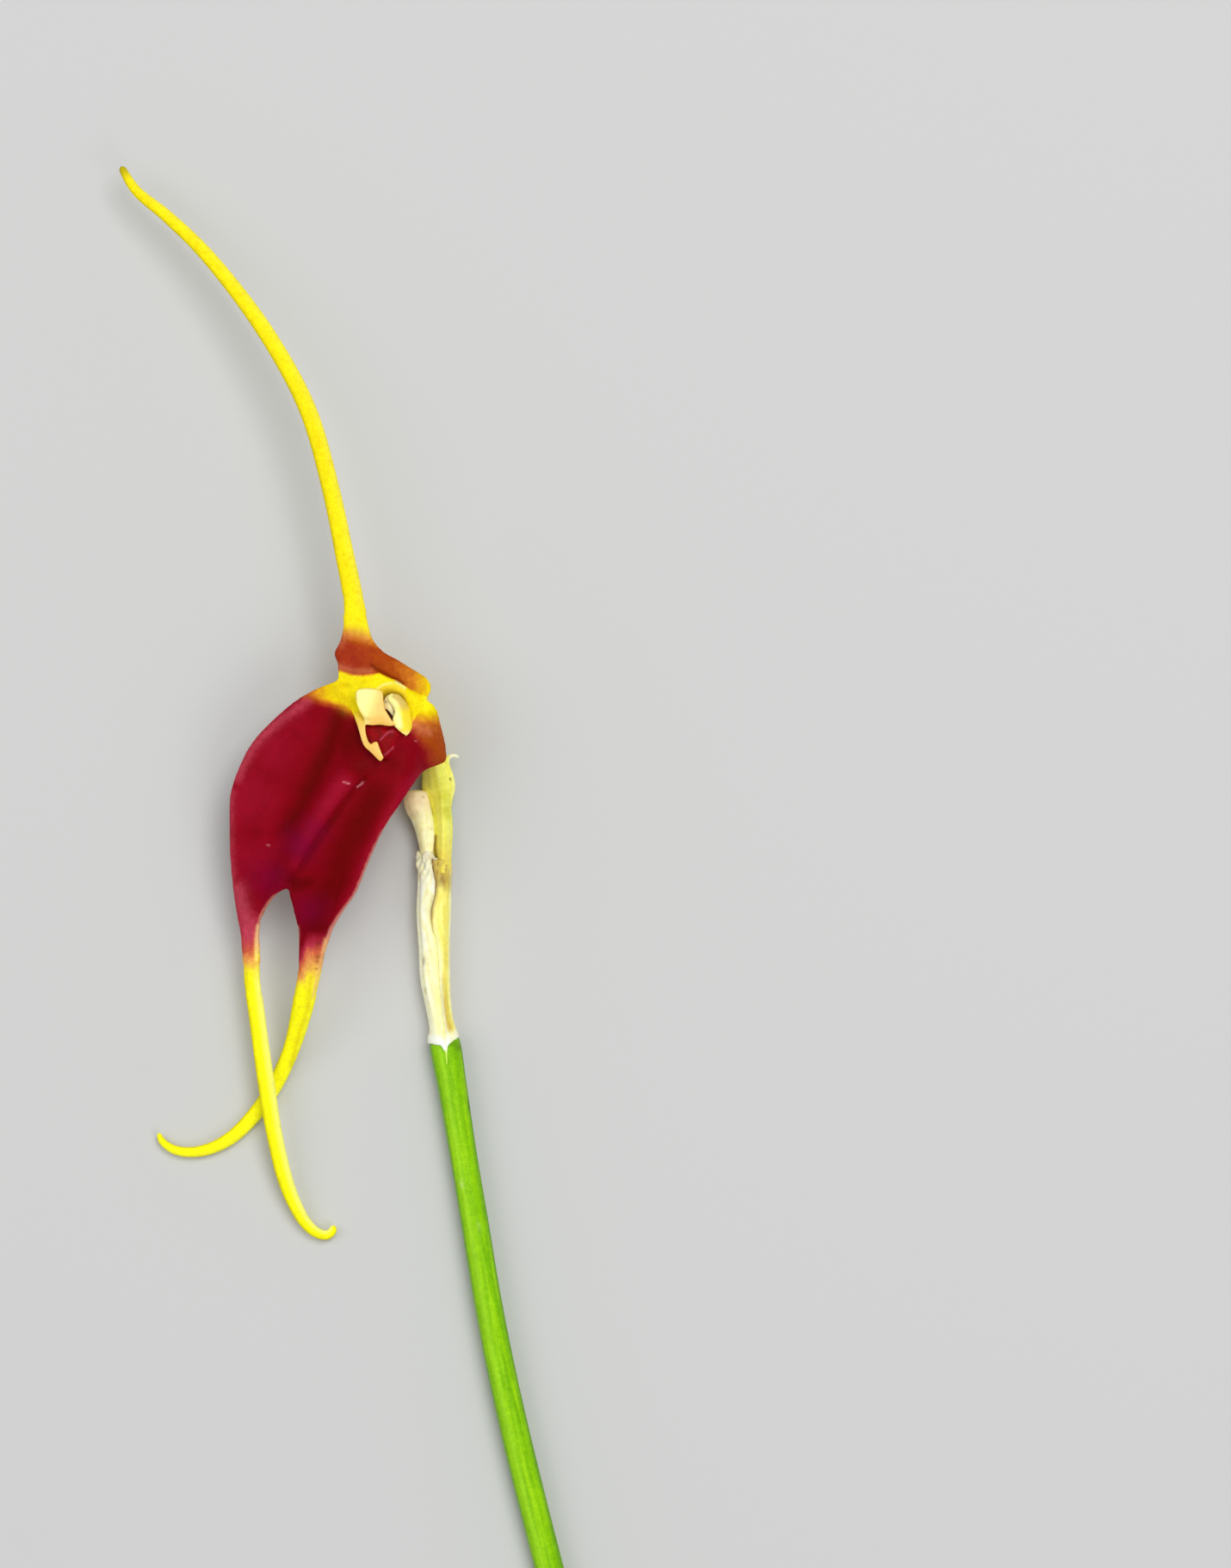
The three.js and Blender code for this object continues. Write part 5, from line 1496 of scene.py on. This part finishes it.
def makeColumn():
    stalk = growClaw("cream_column", column["spine"], 28)
    cap = growAlong("columnCap", column["cap"], 30, 28, (0, 1, 0), tip=0.35)
    deselectAll()
    bpy.ops.mesh.primitive_uv_sphere_add(segments=24, ring_count=16, radius=1)
    hollow = bpy.context.object
    at, size, (cosine, sine) = column["hollow"].values()
    egg = readPoints(hollow) * size
    egg[:, :2] = np.c_[cosine * egg[:, 0] - sine * egg[:, 1], sine * egg[:, 0] + cosine * egg[:, 1]]
    writePoints(hollow, inPart(egg + at))
    finishWith(cap, "BOOLEAN", object=hollow, operation="DIFFERENCE", solver="EXACT")
    bpy.data.objects.remove(hollow)
    piece = growTogether(stalk, cap, voxel=0.045, soften=4)
    points = readDrawn(piece)
    # painted shade in the wedge below the hollow
    addMask(piece, "dark", smoothStep(0.3, 0.8, stroke(points, *column["wedge"])) * (points[:, 2] > 5))
    addMask(piece, "spot", touches(points, column["spots"]) * (points[:, 2] > 5))
    return piece


def columnSkin():
    skin = newSkin("waxy column", **waxy)
    tree = skin.node_tree
    uneven = noise(tree, objectPlace(tree), 1500.0)
    colour = ramp(tree, uneven, [(0.3, (254, 230, 158)), (0.7, (255, 250, 196))])
    colour = layOver(tree, colour, [("dark", (96, 24, 8), 1.0), ("spot", (126, 104, 78), 0.8)])
    return coverSkin(skin, colour, [(3000.0, 0.08)], cells=(6000.0, 0.3), swells=(1800.0, 0.6),
                     depth=0.00002, roughness=(0.38, 0.2))


mount(makeColumn(), "column", columnSkin())
print("bloom complete")

# Floor, light and camera.
studio = {
    "floorSize": 3.0,
    "floorDrop": 0.00002,
    # place, width and watts
    "lights": {
        "key": ((0.14, 0.26, 0.6), 0.4, 2.2),
        "fill": ((-0.4, 0.1, 0.5), 0.5, 0.9),
        "lowFill": ((0.3, -0.3, 0.5), 0.4, 0.8),
    },
    "lightsTowards": (0, 0.01, 0.004),
    "roomColour": (0.95, 0.97, 1.0, 1),
    "roomStrength": 0.45,
    "viewHeight": 0.7,
    "viewMiddle": (15.8, 18.38),  # middle of the view in the part's frame, mm
    "viewLength": 109.3,  # what the view's long side takes in, mm
    "focusHeight": 5.0,  # mm
    "sensor": 36,  # mm
    "clip": (0.01, 20),
}


def addFloor():
    deselectAll()
    bpy.ops.mesh.primitive_plane_add(size=studio["floorSize"], location=(0, 0, -studio["floorDrop"]))
    floor = bpy.context.object
    floor.name = "pale_floor"
    bpy.ops.object.transform_apply(location=True, rotation=True, scale=True)
    floor.data.materials.append(newSkin("pale floor", Base_Color=paint(200, 200, 198), Roughness=0.9))


def addSoftLight(name, place, size, watts):
    bpy.ops.object.light_add(type="AREA", location=place)
    light = bpy.context.object
    light.name = name
    light.data.shape = "DISK"
    light.data.size = size
    light.data.energy = watts
    aim = Vector(studio["lightsTowards"]) - Vector(place)
    light.rotation_euler = aim.to_track_quat("-Z", "Y").to_euler()


def setStudio():
    addFloor()
    deselectAll()
    for name, settings in studio["lights"].items():
        addSoftLight(name, *settings)
    world = bpy.data.worlds.new("soft room")
    bpy.context.scene.world = world
    world.use_nodes = True
    background = world.node_tree.nodes["Background"].inputs
    background["Color"].default_value = studio["roomColour"]
    background["Strength"].default_value = studio["roomStrength"]
    bpy.context.scene.view_settings.view_transform = "Standard"
    x, y = studio["viewMiddle"]
    bpy.ops.object.camera_add(location=(x * mm, y * mm, studio["viewHeight"]), rotation=(0, 0, 0))
    camera = bpy.context.object
    camera.data.sensor_width = studio["sensor"]
    away = studio["viewHeight"] / mm - studio["focusHeight"]
    camera.data.lens = studio["sensor"] * away / studio["viewLength"]
    camera.data.clip_start, camera.data.clip_end = studio["clip"]
    bpy.context.scene.camera = camera


setStudio()
